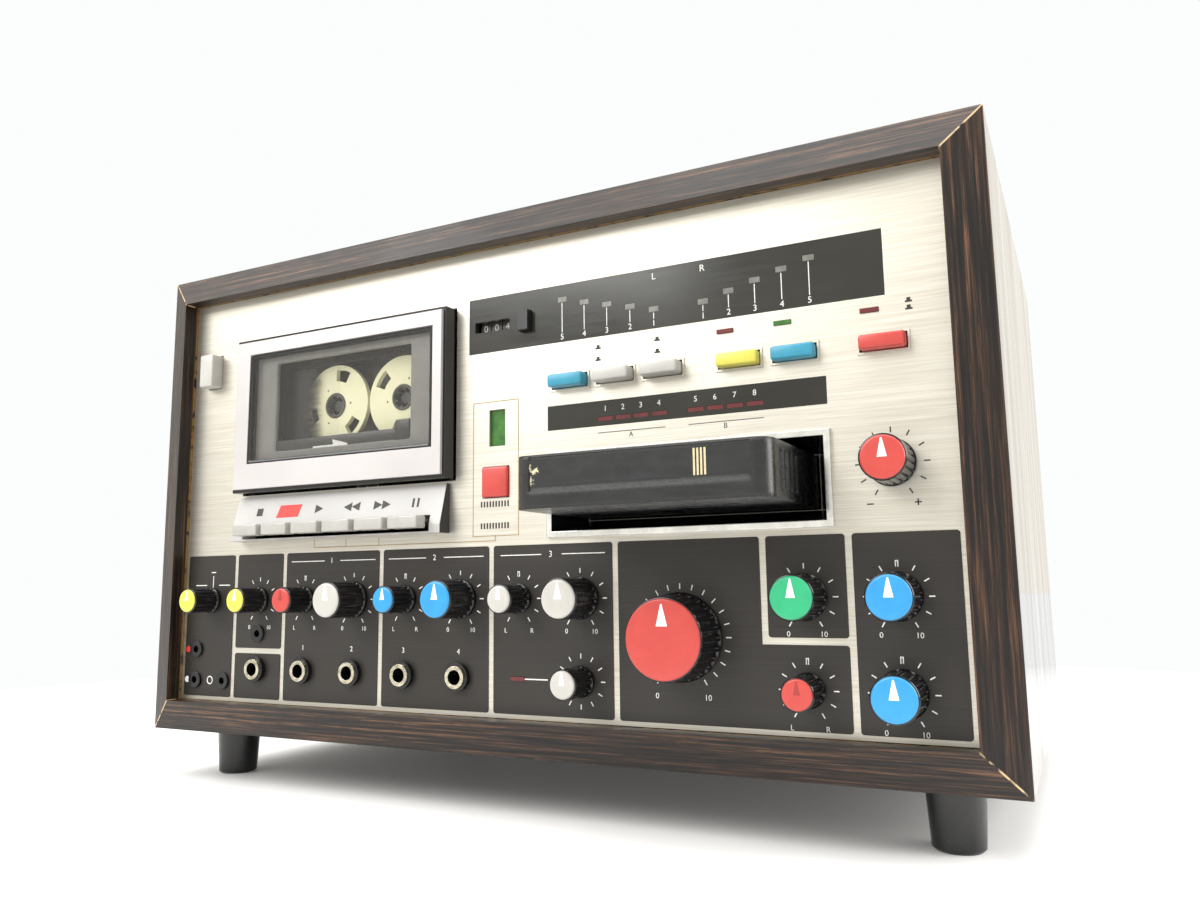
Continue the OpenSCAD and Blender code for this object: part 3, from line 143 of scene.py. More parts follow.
def grid_faces(rows, columns, wrap_rows=False, wrap_columns=False):
    """The four-sided faces of a grid of points, with its ends joined where it wraps."""
    i, j = np.meshgrid(np.arange(rows if wrap_rows else rows - 1),
                       np.arange(columns if wrap_columns else columns - 1), indexing="ij")
    i, j = i.ravel(), j.ravel()
    a = i * columns + j
    b = i * columns + (j + 1) % columns
    c = ((i + 1) % rows) * columns + (j + 1) % columns
    d = ((i + 1) % rows) * columns + j
    return [tuple(f) for f in np.stack([a, b, c, d], axis=1)]


def turned(x, z, profile, around=64, ring=False, ribs=0, rib_depth=0.0, rib_from=0.0, rib_to=0.0):
    """A profile of (radius, reach) pairs turned round the axis at x, z: a ring closes on itself and so has a bore,
    and otherwise both ends are capped. Between rib_from and rib_to the radius gets shallow ribs: it drops by
    rib_depth times the sixth power of |sin| of half the rib angle."""
    profile = np.asarray(profile, float)
    angle = np.linspace(0, 2 * math.pi, around, endpoint=False)
    r, reach = (np.repeat(profile[:, i:i + 1], around, axis=1) for i in (0, 1))
    inside = (reach > rib_from) & (reach < rib_to)
    r = r - rib_depth * np.abs(np.sin(angle * ribs / 2)) ** 6 * inside
    points = on_panel(np.stack([x + r * np.cos(angle), z + r * np.sin(angle), reach], axis=-1).reshape(-1, 3))
    faces = grid_faces(len(profile), around, wrap_rows=ring, wrap_columns=True)
    if not ring:
        last = (len(profile) - 1) * around
        faces += [tuple(range(around))[::-1], tuple(range(last, last + around))]
    return points, faces


def rectangle(left, low, right, high):
    """The outline of an upright rectangle, counter-clockwise."""
    return [(left, low), (right, low), (right, high), (left, high)]


def slab(x, z, w, h, start=PLATE, turn=0.0):
    """A thin flat bar of ink: a rectangle turned by turn degrees about its middle, on the reach start."""
    c, s = math.cos(math.radians(turn)), math.sin(math.radians(turn))
    corners = np.array(rectangle(-w / 2, -h / 2, w / 2, h / 2)) @ [[c, s], [-s, c]] + [x, z]
    return prism(corners, start, start + INK)


def prism(outline, start, end):
    """A flat outline, counter-clockwise seen from the front, carried from reach start to reach end: each is one
    number, or one for each corner."""
    outline = np.asarray(outline, float)
    n = len(outline)
    points = on_panel(np.concatenate([np.column_stack([outline, np.broadcast_to(reach, n)])
                                      for reach in (start, end)]))
    faces = [tuple(range(n))[::-1], tuple(range(n, 2 * n))]
    faces += [(i, (i + 1) % n, n + (i + 1) % n, n + i) for i in range(n)]
    return points, faces


def ring_line(left, bottom, right, top, width, start):
    """The four bars of a thin rectangular outline."""
    mx, mz = (left + right) / 2, (bottom + top) / 2
    return [slab(mx, z, right - left + width, width, start) for z in (bottom, top)] + \
           [slab(x, mz, width, top - bottom - width, start) for x in (left, right)]


def ticks(x, z, inner, outer, angles, width=0.45, start=PLATE):
    """Short bars round a knob: each runs from the inner to the outer radius, its angle clockwise from the top."""
    middle = (inner + outer) / 2
    return [slab(x + middle * math.sin(math.radians(a)), z + middle * math.cos(math.radians(a)),
                 width, outer - inner, start, -a) for a in angles]


def rim(x, z, w, h, corner, profile, per_corner=6):
    """A profile of (outward step, reach) pairs carried round a rectangle with round corners and closed on itself."""
    profile = np.asarray(profile, float)
    rows = []
    for out, reach in profile:
        r = corner + out
        loop = []
        for k, (sx, sz) in enumerate([(1, 1), (-1, 1), (-1, -1), (1, -1)]):
            a = np.radians(np.linspace(90 * k, 90 * k + 90, per_corner))
            loop.append(np.column_stack([x + sx * (w / 2 - corner) + r * np.cos(a),
                                         z + sz * (h / 2 - corner) + r * np.sin(a)]))
        loop = np.concatenate(loop)
        rows.append(np.column_stack([loop, np.full(len(loop), reach)]))
    faces = grid_faces(len(profile), len(rows[0]), wrap_rows=True, wrap_columns=True)
    return on_panel(np.concatenate(rows)), faces


def letters(text, height):
    """Plain built-in letters as a closed flat mesh, centred, with capitals of this height."""
    curve = bpy.data.curves.new("letters", "FONT")
    curve.body = text
    curve.align_x = "CENTER"
    curve.align_y = "CENTER"
    curve.size = height / LETTER
    curve.extrude = INK / 2
    curve.resolution_u = 3
    thing = bpy.data.objects.new("letters", curve)
    bpy.context.scene.collection.objects.link(thing)
    bpy.context.view_layer.update()
    mesh = bpy.data.meshes.new_from_object(thing.evaluated_get(bpy.context.evaluated_depsgraph_get()))
    points = np.empty(len(mesh.vertices) * 3)
    mesh.vertices.foreach_get("co", points)
    faces = [tuple(p.vertices) for p in mesh.polygons]
    bpy.data.objects.remove(thing)
    bpy.data.curves.remove(curve)
    bpy.data.meshes.remove(mesh)
    points = points.reshape(-1, 3)
    points[:, 2] += INK / 2
    return points, faces


def printed(text, x, z, height, start=PLATE):
    """Letters laid on the panel."""
    points, faces = letters(text, height)
    return on_panel(np.column_stack([points[:, 0] + x, points[:, 1] + z, points[:, 2] + start])), faces


# ---------------------------------------------------------------- finishes

NOISE = {1: 0.3, 2: 0.7}  # the part of a noise's range that a map range spreads out
EDGE = 0.00005  # half the width, in metres, of a hard step between two finishes


def tint(hexa):
    """An sRGB hex colour as linear red, green, blue and alpha."""
    value = [int(hexa[i:i + 2], 16) / 255 for i in (1, 3, 5)]
    return tuple(v / 12.92 if v <= 0.04045 else ((v + 0.055) / 1.055) ** 2.4 for v in value) + (1.0,)


def add(tree, kind, sockets=None, to=None, stops=(), **settings):
    """One node with its settings and links. A socket gets a constant, a link, or a node's first output in use.
    stops are a ramp's (position, hex colour) pairs, and to names the shader's socket that the node feeds."""
    made = tree.nodes.new("ShaderNode" + kind)
    for key, value in settings.items():
        setattr(made, key, value)
    for key, value in (sockets or {}).items():
        if isinstance(value, bpy.types.Node):
            value = next(end for end in value.outputs if end.enabled)
        if isinstance(value, bpy.types.NodeSocket):
            tree.links.new(value, made.inputs[key])
        else:
            made.inputs[key].default_value = value
    while stops and len(made.color_ramp.elements) < len(stops):
        made.color_ramp.elements.new(0.5)
    for i, (position, hexa) in enumerate(stops):
        made.color_ramp.elements[i].position = position
        made.color_ramp.elements[i].color = tint(hexa)
    if to:
        end = next(end for end in made.outputs if end.enabled)
        tree.links.new(end, tree.nodes["Principled BSDF"].inputs[to])
    return made


def finish(name, **shader):
    """A new material: its tree, with constants on the shader's own sockets, and the object coordinates."""
    made = bpy.data.materials.new(name)
    made.use_nodes = True
    tree = made.node_tree
    for key, value in shader.items():
        tree.nodes["Principled BSDF"].inputs[key.replace("_", " ")].default_value = value
    return made, tree, add(tree, "TexCoord").outputs["Object"]


def speckle(tree, place, scale, detail=3.0, rough=0.55):
    """Noise over the object; scale is repeats per metre, one number or one each along x, y and z."""
    scale = scale if isinstance(scale, tuple) else (scale,) * 3
    stretched = add(tree, "VectorMath", {0: place, 1: scale}, operation="MULTIPLY")
    return add(tree, "TexNoise", {"Vector": stretched, "Scale": 1.0, "Detail": detail, "Roughness": rough})


def span(limit, soft=EDGE):
    """The start and end of a map range that is 0 under the limit and 1 over it, with a soft step between."""
    return {1: limit - soft, 2: limit + soft}


def product(tree, *masks):
    """Masks multiplied together: 1 only where every one of them is 1."""
    made = masks[0]
    for mask in masks[1:]:
        made = add(tree, "Math", {0: made, 1: mask}, operation="MULTIPLY")
    return made


def distance(tree, value, middle):
    """How far a coordinate is from a middle value, on either side."""
    offset = add(tree, "Math", {0: value, 1: middle}, operation="SUBTRACT")
    return add(tree, "Math", {0: offset}, operation="ABSOLUTE")


def rounded_light(tree, radius, bump=None, depth=0.0):
    """Softens the edges of a CAD solid in the light by this many millimetres, and adds fine relief."""
    edge = add(tree, "Bevel", {"Radius": radius * MM}, None if bump else "Normal", samples=4)
    if bump:
        add(tree, "Bump", {"Strength": 1.0, "Distance": depth * MM, "Height": bump, "Normal": edge}, "Normal")


def moulded(name, light, dark, roughness, grain=0.6, relief=0.004):
    """Injection moulded plastic: faint clouding of the colour at 6 mm, skin grain in millimetres, no metal."""
    made, tree, place = finish(name)
    add(tree, "ValToRGB", {0: speckle(tree, place, 160, 4.0)}, "Base Color", [(0.3, dark), (0.7, light)])
    skin = speckle(tree, place, 1000 / grain, 2.0)
    add(tree, "MapRange", {0: skin, **NOISE, 3: roughness - 0.005, 4: roughness + 0.005}, "Roughness")
    add(tree, "Bump", {"Strength": 1.0, "Distance": relief * MM, "Height": skin}, "Normal")
    return made


def worked(name, dark, light, roughness, scale, bevel=0.3, relief=0.02, metal=False):
    """A CAD solid in metal, board, rubber or grained plastic: its tone, roughness and relief wander with one
    noise of this scale per metre, stretched along the strokes of its tool where it was drawn, rolled or turned."""
    made, tree, place = finish(name, Metallic=float(metal))
    detail, smoother, rougher = (3.0, 0.06, 0.12) if metal else (4.0, 0.05, 0.1)
    mottle = speckle(tree, place, scale, detail)
    add(tree, "ValToRGB", {0: mottle}, "Base Color", [(0.3, dark), (0.7, light)])
    add(tree, "MapRange", {0: mottle, **NOISE, 3: roughness - smoother, 4: roughness + rougher}, "Roughness")
    rounded_light(tree, bevel, mottle, relief)
    return made


def ink(name, hexa):
    """Screen printed ink: even colour with a slight mottle of 1 mm from the mesh of the screen."""
    made, tree, place = finish(name, Roughness=0.5, IOR=1.45)
    faded = "#" + "".join("%02x" % int(int(hexa[i:i + 2], 16) * 0.9) for i in (1, 3, 5))
    add(tree, "ValToRGB", {0: speckle(tree, place, 1000)}, "Base Color", [(0.35, faded), (0.6, hexa)])
    return made


def rosewood_veneer():
    """Rosewood pattern veneer: streaks 1.3 mm wide and 60 mm long, pores of 0.5 mm, pale chipped mitres. The
    outer faces are lacquered to a gloss, the front edges are rubbed dull."""
    made, tree, place = finish("rosewood_veneer_lacquered", Coat_Roughness=0.06, Specular_IOR_Level=0.35)
    axes = add(tree, "SeparateXYZ", {0: place}).outputs
    wide = add(tree, "Math", {0: axes["X"]}, operation="ABSOLUTE")
    tall = distance(tree, axes["Z"], MID_HEIGHT * MM)
    lead = add(tree, "Math", {0: wide, 1: tall}, operation="SUBTRACT")
    mitre = (HALF_WIDTH - HALF_HEIGHT) * MM
    upright = add(tree, "MapRange", {0: lead, **span(mitre, 0.0001)})
    along = add(tree, "Mix", {0: upright, 2: axes["X"], 3: axes["Z"]})
    across = add(tree, "Mix", {0: upright, 2: axes["Z"], 3: axes["X"]})
    grain = add(tree, "CombineXYZ", {0: along, 1: across, 2: axes["Y"]})
    streak = speckle(tree, grain, (17, 780, 780), 5.0, 0.62)
    band = speckle(tree, grain, (5, 70, 70))
    pore = speckle(tree, grain, (70, 1900, 1900), 3.0, 0.7)
    wood = add(tree, "ValToRGB", {0: streak},
               stops=[(0.36, "#070403"), (0.46, "#1d130e"), (0.55, "#402b1f"), (0.67, "#74533a")])
    shade = add(tree, "ValToRGB", {0: band}, stops=[(0.35, "#6a5f58"), (0.65, "#ffffff")])
    holes = add(tree, "ValToRGB", {0: pore}, stops=[(0.4, "#4a403c"), (0.52, "#ffffff")])
    for share, layer in ((0.8, shade), (0.7, holes)):
        wood = add(tree, "Mix", {0: share, 6: wood, 7: layer}, data_type="RGBA", blend_type="MULTIPLY")
    # the pale chipped line along each mitre, on the front edges only
    line = add(tree, "MapRange", {0: distance(tree, lead, mitre), 1: 0.00025, 2: 0.0006, 3: 1.0, 4: 0.0})
    chip = add(tree, "MapRange", {0: speckle(tree, place, 240), **span(0.43, 0.06)})
    front = add(tree, "Math", {0: axes["Y"], 1: (PANEL - 2.6) * MM}, operation="LESS_THAN")
    worn = product(tree, line, chip, front)
    wood = add(tree, "Mix", {0: worn, 6: wood, 7: tint("#c9ad84")}, data_type="RGBA")
    # the bare golden wood of the inner faces, where they meet the panel
    inner = [add(tree, "Math", {0: value, 1: (half - BOARD_IN) * MM}, operation="LESS_THAN")
             for value, half in ((wide, HALF_WIDTH), (tall, HALF_HEIGHT))]
    near = add(tree, "MapRange", {0: axes["Y"], **span((PANEL - 1.1) * MM, 0.0004)})
    fore = add(tree, "Math", {0: axes["Y"], 1: 0.0}, operation="LESS_THAN")
    inside = add(tree, "Math", {0: inner[0], 1: inner[1]}, operation="MINIMUM")
    bare = product(tree, inside, near, fore, chip)
    add(tree, "Mix", {0: bare, 6: wood, 7: tint("#8a6a38")}, "Base Color", data_type="RGBA")
    outer = add(tree, "MapRange", {0: wide, **span((HALF_WIDTH - 0.3) * MM, 0.0001)})
    lacquer = add(tree, "MapRange", {0: band, **NOISE, 3: 0.7, 4: 1.0})
    add(tree, "Mix", {0: outer, 2: 0.06, 3: lacquer}, "Coat Weight")
    add(tree, "MapRange", {0: pore, **NOISE, 3: 0.52, 4: 0.36}, "Roughness")
    rounded_light(tree, 0.5, pore, 0.012)
    return made


def brushed_aluminium():
    """Anodised aluminium, brushed across: lines 0.3 mm apart, with paler and darker draws 0.8 mm wide."""
    made, tree, place = finish("aluminium_brushed_anodised", Metallic=0.85)
    line = speckle(tree, place, (40, 3200, 3200), 2.0, 0.6)
    draw = speckle(tree, place, (22, 1300, 1300), 2.0, 0.6)
    brushed = add(tree, "ValToRGB", {0: line}, stops=[(0.3, "#bfbbb1"), (0.7, "#d3cfc5")])
    tone = add(tree, "ValToRGB", {0: draw}, stops=[(0.32, "#f8f6f2"), (0.6, "#ffffff")])
    add(tree, "Mix", {0: 1.0, 6: brushed, 7: tone}, "Base Color", data_type="RGBA", blend_type="MULTIPLY")
    add(tree, "MapRange", {0: draw, **NOISE, 3: 0.4, 4: 0.45}, "Roughness")
    rounded_light(tree, 0.15, line, 0.001)
    return made


def painted_plate():
    """Screen printed grey plate paint over brushed metal: dark warm grey, satin, faint lines across."""
    made, tree, place = finish("plate_paint_satin", Specular_IOR_Level=0.35)
    line = speckle(tree, place, (14, 2500, 2500), 2.0)
    base = add(tree, "ValToRGB", {0: line}, stops=[(0.3, "#2a2724"), (0.7, "#312e2a")])
    tone = add(tree, "ValToRGB", {0: speckle(tree, place, 9, 2.0)}, stops=[(0.35, "#e4dfd8"), (0.65, "#ffffff")])
    add(tree, "Mix", {0: 1.0, 6: base, 7: tone}, "Base Color", data_type="RGBA", blend_type="MULTIPLY")
    add(tree, "MapRange", {0: line, **NOISE, 3: 0.36, 4: 0.46}, "Roughness")
    rounded_light(tree, 0.1, line, 0.002)
    return made


def smoked_strip():
    """Smoked acrylic strip, polished: dark olive grey with a few hairline scratches across."""
    made, tree, place = finish("acrylic_smoked_polished", IOR=1.49)
    add(tree, "ValToRGB", {0: speckle(tree, place, 22, 2.0)}, "Base Color", [(0.3, "#20201b"), (0.7, "#2a2a25")])
    scratch = speckle(tree, place, (30, 2200, 2200), 2.0)
    add(tree, "MapRange", {0: scratch, 1: 0.35, 2: 0.75, 3: 0.12, 4: 0.26}, "Roughness")
    rounded_light(tree, 0.12)
    return made


def lamp_windows():
    """Moulded lamp windows, unlit: grey level lamps, dark red ones, and the two green ones by their place."""
    made, tree, place = finish("acrylic_lamp_tinted", Roughness=0.2, IOR=1.49)
    axes = add(tree, "SeparateXYZ", {0: place}).outputs
    grain = speckle(tree, place, 300, 2.0)
    red, grey, green = (add(tree, "ValToRGB", {0: grain}, stops=[(0.3, dark), (0.7, light)]) for dark, light in (
        ("#5b2325", "#6e2b2c"), ("#63635c", "#7c7b74"), ("#2d5a22", "#3f7230")))
    level, middle, low = (add(tree, "MapRange", {0: axes["Z"], **span((FOOT + height) * MM)})
                          for height in (LEVEL_LAMPS_OVER, DISPLAY_OVER, STATUS_LAMPS_OVER))
    tuner, right, last = (add(tree, "MapRange", {0: axes["X"], **span(x * MM)})
                          for x in (DISPLAY_RIGHT, GREEN_LAMP_LEFT, GREEN_LAMP_RIGHT))
    flat, left = (add(tree, "Math", {0: 1.0, 1: mask}, operation="SUBTRACT") for mask in (level, tuner))
    lamp = add(tree, "Math", {0: right, 1: last}, operation="SUBTRACT")
    colour = add(tree, "Mix", {0: level, 6: red, 7: grey}, data_type="RGBA")
    colour = add(tree, "Mix", {0: product(tree, lamp, low, flat), 6: colour, 7: green}, data_type="RGBA")
    display = product(tree, left, middle, flat)
    add(tree, "Mix", {0: display, 6: colour, 7: green}, "Base Color", data_type="RGBA")
    return made


def plated_frame():
    """Chrome plated plastic rail with a gloss black funnel behind the panel's face."""
    made, tree, place = finish("abs_chrome_plated")
    axes = add(tree, "SeparateXYZ", {0: place}).outputs
    low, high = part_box("slot_bezel")
    sides = [add(tree, "MapRange", {0: distance(tree, axes[axis], (start + end) / 2),
                                    **span((end - start) / 2 - BEZEL_RAIL * MM)})
             for axis, start, end in (("X", low.x, high.x), ("Z", low.z, high.z))]
    rail = add(tree, "Math", {0: sides[0], 1: sides[1]}, operation="MAXIMUM")
    proud = add(tree, "Math", {0: axes["Y"], 1: (PANEL + 0.15) * MM}, operation="LESS_THAN")
    rail = product(tree, rail, proud)
    smear = speckle(tree, place, 120, 4.0)
    bright = add(tree, "ValToRGB", {0: smear}, stops=[(0.3, "#cfd0d0"), (0.7, "#f0f0ee")])
    add(tree, "Mix", {0: rail, 6: tint("#0e0e10"), 7: bright}, "Base Color", data_type="RGBA")
    tree.links.new(rail.outputs[0], tree.nodes["Principled BSDF"].inputs["Metallic"])
    add(tree, "MapRange", {0: smear, **NOISE, 3: 0.08, 4: 0.2}, "Roughness")
    rounded_light(tree, 0.5)
    return made


def door_shell():
    """Moulded door: silver lacquered plate in front of a polished black shell, split by the plate's depth."""
    made, tree, place = finish("abs_silver_lacquered_on_black")
    axes = add(tree, "SeparateXYZ", {0: place}).outputs
    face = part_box("cassette_door")[0].y
    plate = add(tree, "Math", {0: axes["Y"], 1: face + DOOR_PLATE * MM}, operation="LESS_THAN")
    silver = add(tree, "ValToRGB", {0: speckle(tree, place, 14)}, stops=[(0.3, "#b9b4b2"), (0.7, "#c5c0be")])
    add(tree, "Mix", {0: plate, 6: tint("#151517"), 7: silver}, "Base Color", data_type="RGBA")
    add(tree, "Mix", {0: plate, 2: 0.14, 3: 0.34}, "Roughness")
    add(tree, "Mix", {0: plate, 2: 0.0, 3: 0.15}, "Metallic")
    rounded_light(tree, 0.4, speckle(tree, place, 1600, 2.0), 0.003)
    return made


def silver_housing():
    """Moulded housing in silver lacquer: pearly grey-white with a fine grain of 0.6 mm, its right end face coloured
    near black.
    """
    made, tree, place = finish("abs_silver_lacquered")
    axes = add(tree, "SeparateXYZ", {0: place}).outputs
    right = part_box("key_housing")[1].x
    # the right end face, the last 0.2 mm in x, is coloured near black
    end = add(tree, "MapRange", {0: axes["X"], **span(right - 0.0002, 0.0001)})
    lacquer = add(tree, "ValToRGB", {0: speckle(tree, place, 20)}, stops=[(0.3, "#adaaa6"), (0.7, "#b9b6b2")])
    add(tree, "Mix", {0: end, 6: lacquer, 7: tint("#1c1c1d")}, "Base Color", data_type="RGBA")
    grain = speckle(tree, place, 1600, 2.0)
    add(tree, "MapRange", {0: grain, **NOISE, 3: 0.3, 4: 0.42}, "Roughness")
    rounded_light(tree, 0.4, grain, 0.003)
    return made


def socket_metal():
    """Nickel plated socket ring on a black moulded collar: metal only where the ring stands proud."""
    made, tree, place = finish("brass_nickel_plated_on_black")
    axes = add(tree, "SeparateXYZ", {0: place}).outputs
    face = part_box("jacks")[0].y
    ring = add(tree, "Math", {0: axes["Y"], 1: face + RING_PROUD * MM}, operation="LESS_THAN")
    wear = speckle(tree, place, 500)
    bright = add(tree, "ValToRGB", {0: wear}, stops=[(0.3, "#a39a84"), (0.7, "#d9d2bf")])
    add(tree, "Mix", {0: ring, 6: tint("#131314"), 7: bright}, "Base Color", data_type="RGBA")
    tree.links.new(ring.outputs[0], tree.nodes["Principled BSDF"].inputs["Metallic"])
    add(tree, "MapRange", {0: wear, **NOISE, 3: 0.16, 4: 0.32}, "Roughness")
    rounded_light(tree, 0.3)
    return made


def cartridge_styrene():
    """Styrene cartridge, moulded with a fine leather grain of 0.7 mm, rubbed grey in a few places."""
    made, tree, place = finish("styrene_grained", IOR=1.55)
    scuff = speckle(tree, place, (40, 220, 220), 6.0, 0.7)
    add(tree, "ValToRGB", {0: scuff}, "Base Color", [(0.3, "#0c0d0e"), (0.66, "#141517"), (0.84, "#36373a")])
    add(tree, "MapRange", {0: scuff, **NOISE, 3: 0.2, 4: 0.36}, "Roughness")
    rounded_light(tree, 2.4, add(tree, "TexVoronoi", {"Vector": place, "Scale": 1500.0}), 0.005)
    return made


def worn_label():
    """Black paper label with a varnish gloss, rubbed through to cream paper in patches at its left end."""
    made, tree, place = finish("paper_label_varnished")
    axes = add(tree, "SeparateXYZ", {0: place}).outputs
    patch = speckle(tree, place, 170, 6.0, 0.7)
    left = add(tree, "MapRange", {0: axes["X"], 1: 0.041, 2: 0.058, 3: 0.1, 4: -0.12})
    rubbed = add(tree, "Math", {0: patch, 1: left}, operation="ADD")
    torn = add(tree, "MapRange", {0: rubbed, **span(0.62, 0.02)})
    black = add(tree, "ValToRGB", {0: speckle(tree, place, (60, 400, 400), 4.0)},
                stops=[(0.3, "#101112"), (0.75, "#1d1e20")])
    add(tree, "Mix", {0: torn, 6: black, 7: tint("#d8cba0")}, "Base Color", data_type="RGBA")
    add(tree, "MapRange", {0: patch, **NOISE, 3: 0.26, 4: 0.4}, "Roughness")
    return made


def window_sheet():
    """Smoked acrylic sheet with a grey haze over it, clear enough to show the reels."""
    made, tree, place = finish("acrylic_window_hazed", IOR=1.49, Alpha=0.14)
    haze = speckle(tree, place, 25)
    add(tree, "ValToRGB", {0: haze}, "Base Color", [(0.3, "#66645f"), (0.7, "#76736d")])
    add(tree, "MapRange", {0: haze, **NOISE, 3: 0.04, 4: 0.12}, "Roughness")
    return made


def reel_shade():
    """Painted shade over the left reel: a dark sheet, black at the left and clear from the middle of the left reel
    on, its edge streaked.
    """
    made, tree, place = finish("painted_reel_shade_sheet", Roughness=0.3)
    axes = add(tree, "SeparateXYZ", {0: place}).outputs
    ray = speckle(tree, place, (50, 50, 420), 1.0, 0.4)
    edge = add(tree, "Math", {0: product(tree, ray, 0.009), 1: axes["X"]}, operation="ADD")
    add(tree, "MapRange", {0: edge, 1: -0.112, 2: -0.102, 3: 0.78, 4: 0.0}, "Alpha")
    add(tree, "ValToRGB", {0: ray}, "Base Color", [(0.3, "#141413"), (0.7, "#232220")])
    return made


white_ink = ink("ink_white_printed", "#e9e7e0")
dark_ink = ink("ink_black_printed", "#2b2926")
tan_ink = ink("ink_tan_printed", "#a08a62")
grey_ink = ink("ink_grey_printed", "#77746c")
red_ink = ink("ink_red_printed", "#d8372f")
cream_ink = ink("ink_cream_printed", "#cdbf96")
black_abs = moulded("abs_black_moulded", "#111113", "#0b0b0d", 0.2, 1.6, 0.0002)
mask_abs = moulded("abs_mask_grey_moulded", "#86847e", "#7a7872", 0.35, 1.6, 0.001)
bar_abs = moulded("abs_bar_dark_grey_moulded", "#33322f", "#292825", 0.3, 1.6, 0.001)
caps = {colour: moulded("abs_" + colour + "_moulded", light, dark, roughness, 1.2, 0.0003)
        for colour, light, dark, roughness in (
            ("blue", "#2c90ca", "#2887bf", 0.3), ("red", "#bd443c", "#b43e37", 0.3),
            ("green", "#2dac76", "#28a16d", 0.3), ("yellow", "#d3d454", "#c9ca4c", 0.3),
            ("white", "#bab7b0", "#b2afa8", 0.32), ("cyan", "#3590ab", "#30879f", 0.3),
            ("amber", "#d6cd58", "#ccc350", 0.3), ("key_white", "#acaaa3", "#a3a19a", 0.22))}
pure_white = moulded("abs_inlay_white", "#f6f6f2", "#efefea", 0.4)
bare_mark = moulded("abs_red_groove_unfilled", "#9c332c", "#8f2d27", 0.4)
reel_cream = moulded("styrene_reel_cream", "#fffbd2", "#fbf6c8", 0.35, 1.2, 0.001)
hub_grey = moulded("styrene_hub_grey", "#56544e", "#45433e", 0.3, 1.2, 0.001)


# ---------------------------------------------------------------- CAD pieces that stay, in their finishes

drum_grey = worked("abs_drum_grey", "#3f3e3a", "#4a4945", 0.35, 900)
inlet_black = worked("phenolic_inlet_moulded", "#161617", "#222223", 0.4, 700)
spindle_grey = worked("acetal_spindle_moulded", "#3a3936", "#4a4945", 0.4, 700)
finishes = {
    "case": rosewood_veneer(),
    "back_panel": worked("hardboard_pressed", "#4a3a2a", "#6b563e", 0.7, 900, 0.3, 0.08),
    "front_panel": brushed_aluminium(),
    "legend_plates": painted_plate(),
    "display_strips": smoked_strip(),
    "lamps": lamp_windows(),
    "slot_bezel": plated_frame(),
    "cassette_deck": worked("abs_black_grained", "#17171a", "#222226", 0.45, 900),
    "key_housing": silver_housing(),
    "feet": worked("abs_foot_black_polished", "#0f0f10", "#1a1a1b", 0.2, 300, 0.6, 0.004),
    "jacks": socket_metal(),
    "main_board": worked("phenolic_board_lacquered", "#4a4a22", "#6d6a35", 0.45, 400),
    "transformer": worked("core_steel_varnished", "#4b4843", "#6d6960", 0.5, (60, 60, 2000)),
    "mains_inlet": inlet_black,
    "counter_reset": inlet_black,
    "counter_drums": drum_grey,
    "cassette_door": door_shell(),
    "door_window": window_sheet(),
    "cassette_shell": worked("styrene_cassette_moulded", "#161616", "#232322", 0.3, 600, 0.3, 0.006),
    "left_spindle": spindle_grey,
    "right_spindle": spindle_grey,
    "cartridge": cartridge_styrene(),
}
for node_name, name, dark, light, roughness, scale in (
        ("cartridge_deck", "steel_sheet_rolled", "#6f6d68", "#94918a", 0.42, (60, 900, 60)),
        ("screws", "steel_screw_plated", "#7e7c76", "#a5a29b", 0.3, 700),
        ("controls", "zinc_control_plated", "#8d8b84", "#b3b0a7", 0.34, 500),
        ("drive_motor", "steel_motor_drawn", "#8f8d86", "#bbb8af", 0.3, (80, 80, 1500)),
        ("flywheel", "steel_flywheel_turned", "#7d7b76", "#aaa79f", 0.28, (40, 40, 3000)),
        ("motor_pulley", "brass_pulley_turned", "#8a6d2c", "#c9a550", 0.3, (60, 60, 3000)),
        ("tape_heads", "permalloy_head_ground", "#a39f95", "#cfcbc0", 0.2, (300, 2000, 300))):
    finishes[node_name] = worked(name, dark, light, roughness, scale, 0.2, 0.01, metal=True)
for node_name, made in finishes.items():
    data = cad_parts[node_name].data
    data.materials.clear()
    data.materials.append(made)


# ---------------------------------------------------------------- knobs

# cap radius, skirt radius, reach and number of ribs
SMALL, LARGE, MASTER = (5.6, 6.5, 16.6, 16), (7.75, 8.75, 19.5, 20), (15.3, 17.3, 19.2, 26)
UPPER, LOWER = 65.7, 32  # heights of the two rows of knobs
knobs = {  # x, height, size and colour
    "mode_knob": (-174, UPPER, SMALL, "yellow"), "earphone_knob": (-140.4, UPPER, SMALL, "yellow"),
    "pan_1_knob": (-110, UPPER, SMALL, "red"), "mic_1_knob": (-79.2, UPPER, LARGE, "white"),
    "pan_2_knob": (-48.5, UPPER, SMALL, "blue"), "mic_2_knob": (-17.8, UPPER, LARGE, "blue"),
    "pan_3_knob": (12.7, UPPER, SMALL, "white"), "mic_3_knob": (42.7, UPPER, LARGE, "white"),
    "tuning_knob": (42.7, LOWER, SMALL, "white"), "master_knob": (87.3, 50.5, MASTER, "red"),
    "echo_knob": (137, UPPER, LARGE, "green"), "treble_knob": (170.6, UPPER, LARGE, "blue"),
    "balance_knob": (137, LOWER, SMALL, "red"), "bass_knob": (170.6, LOWER, LARGE, "blue"),
    "speed_knob": (171, 113.4, LARGE, "red"),
}


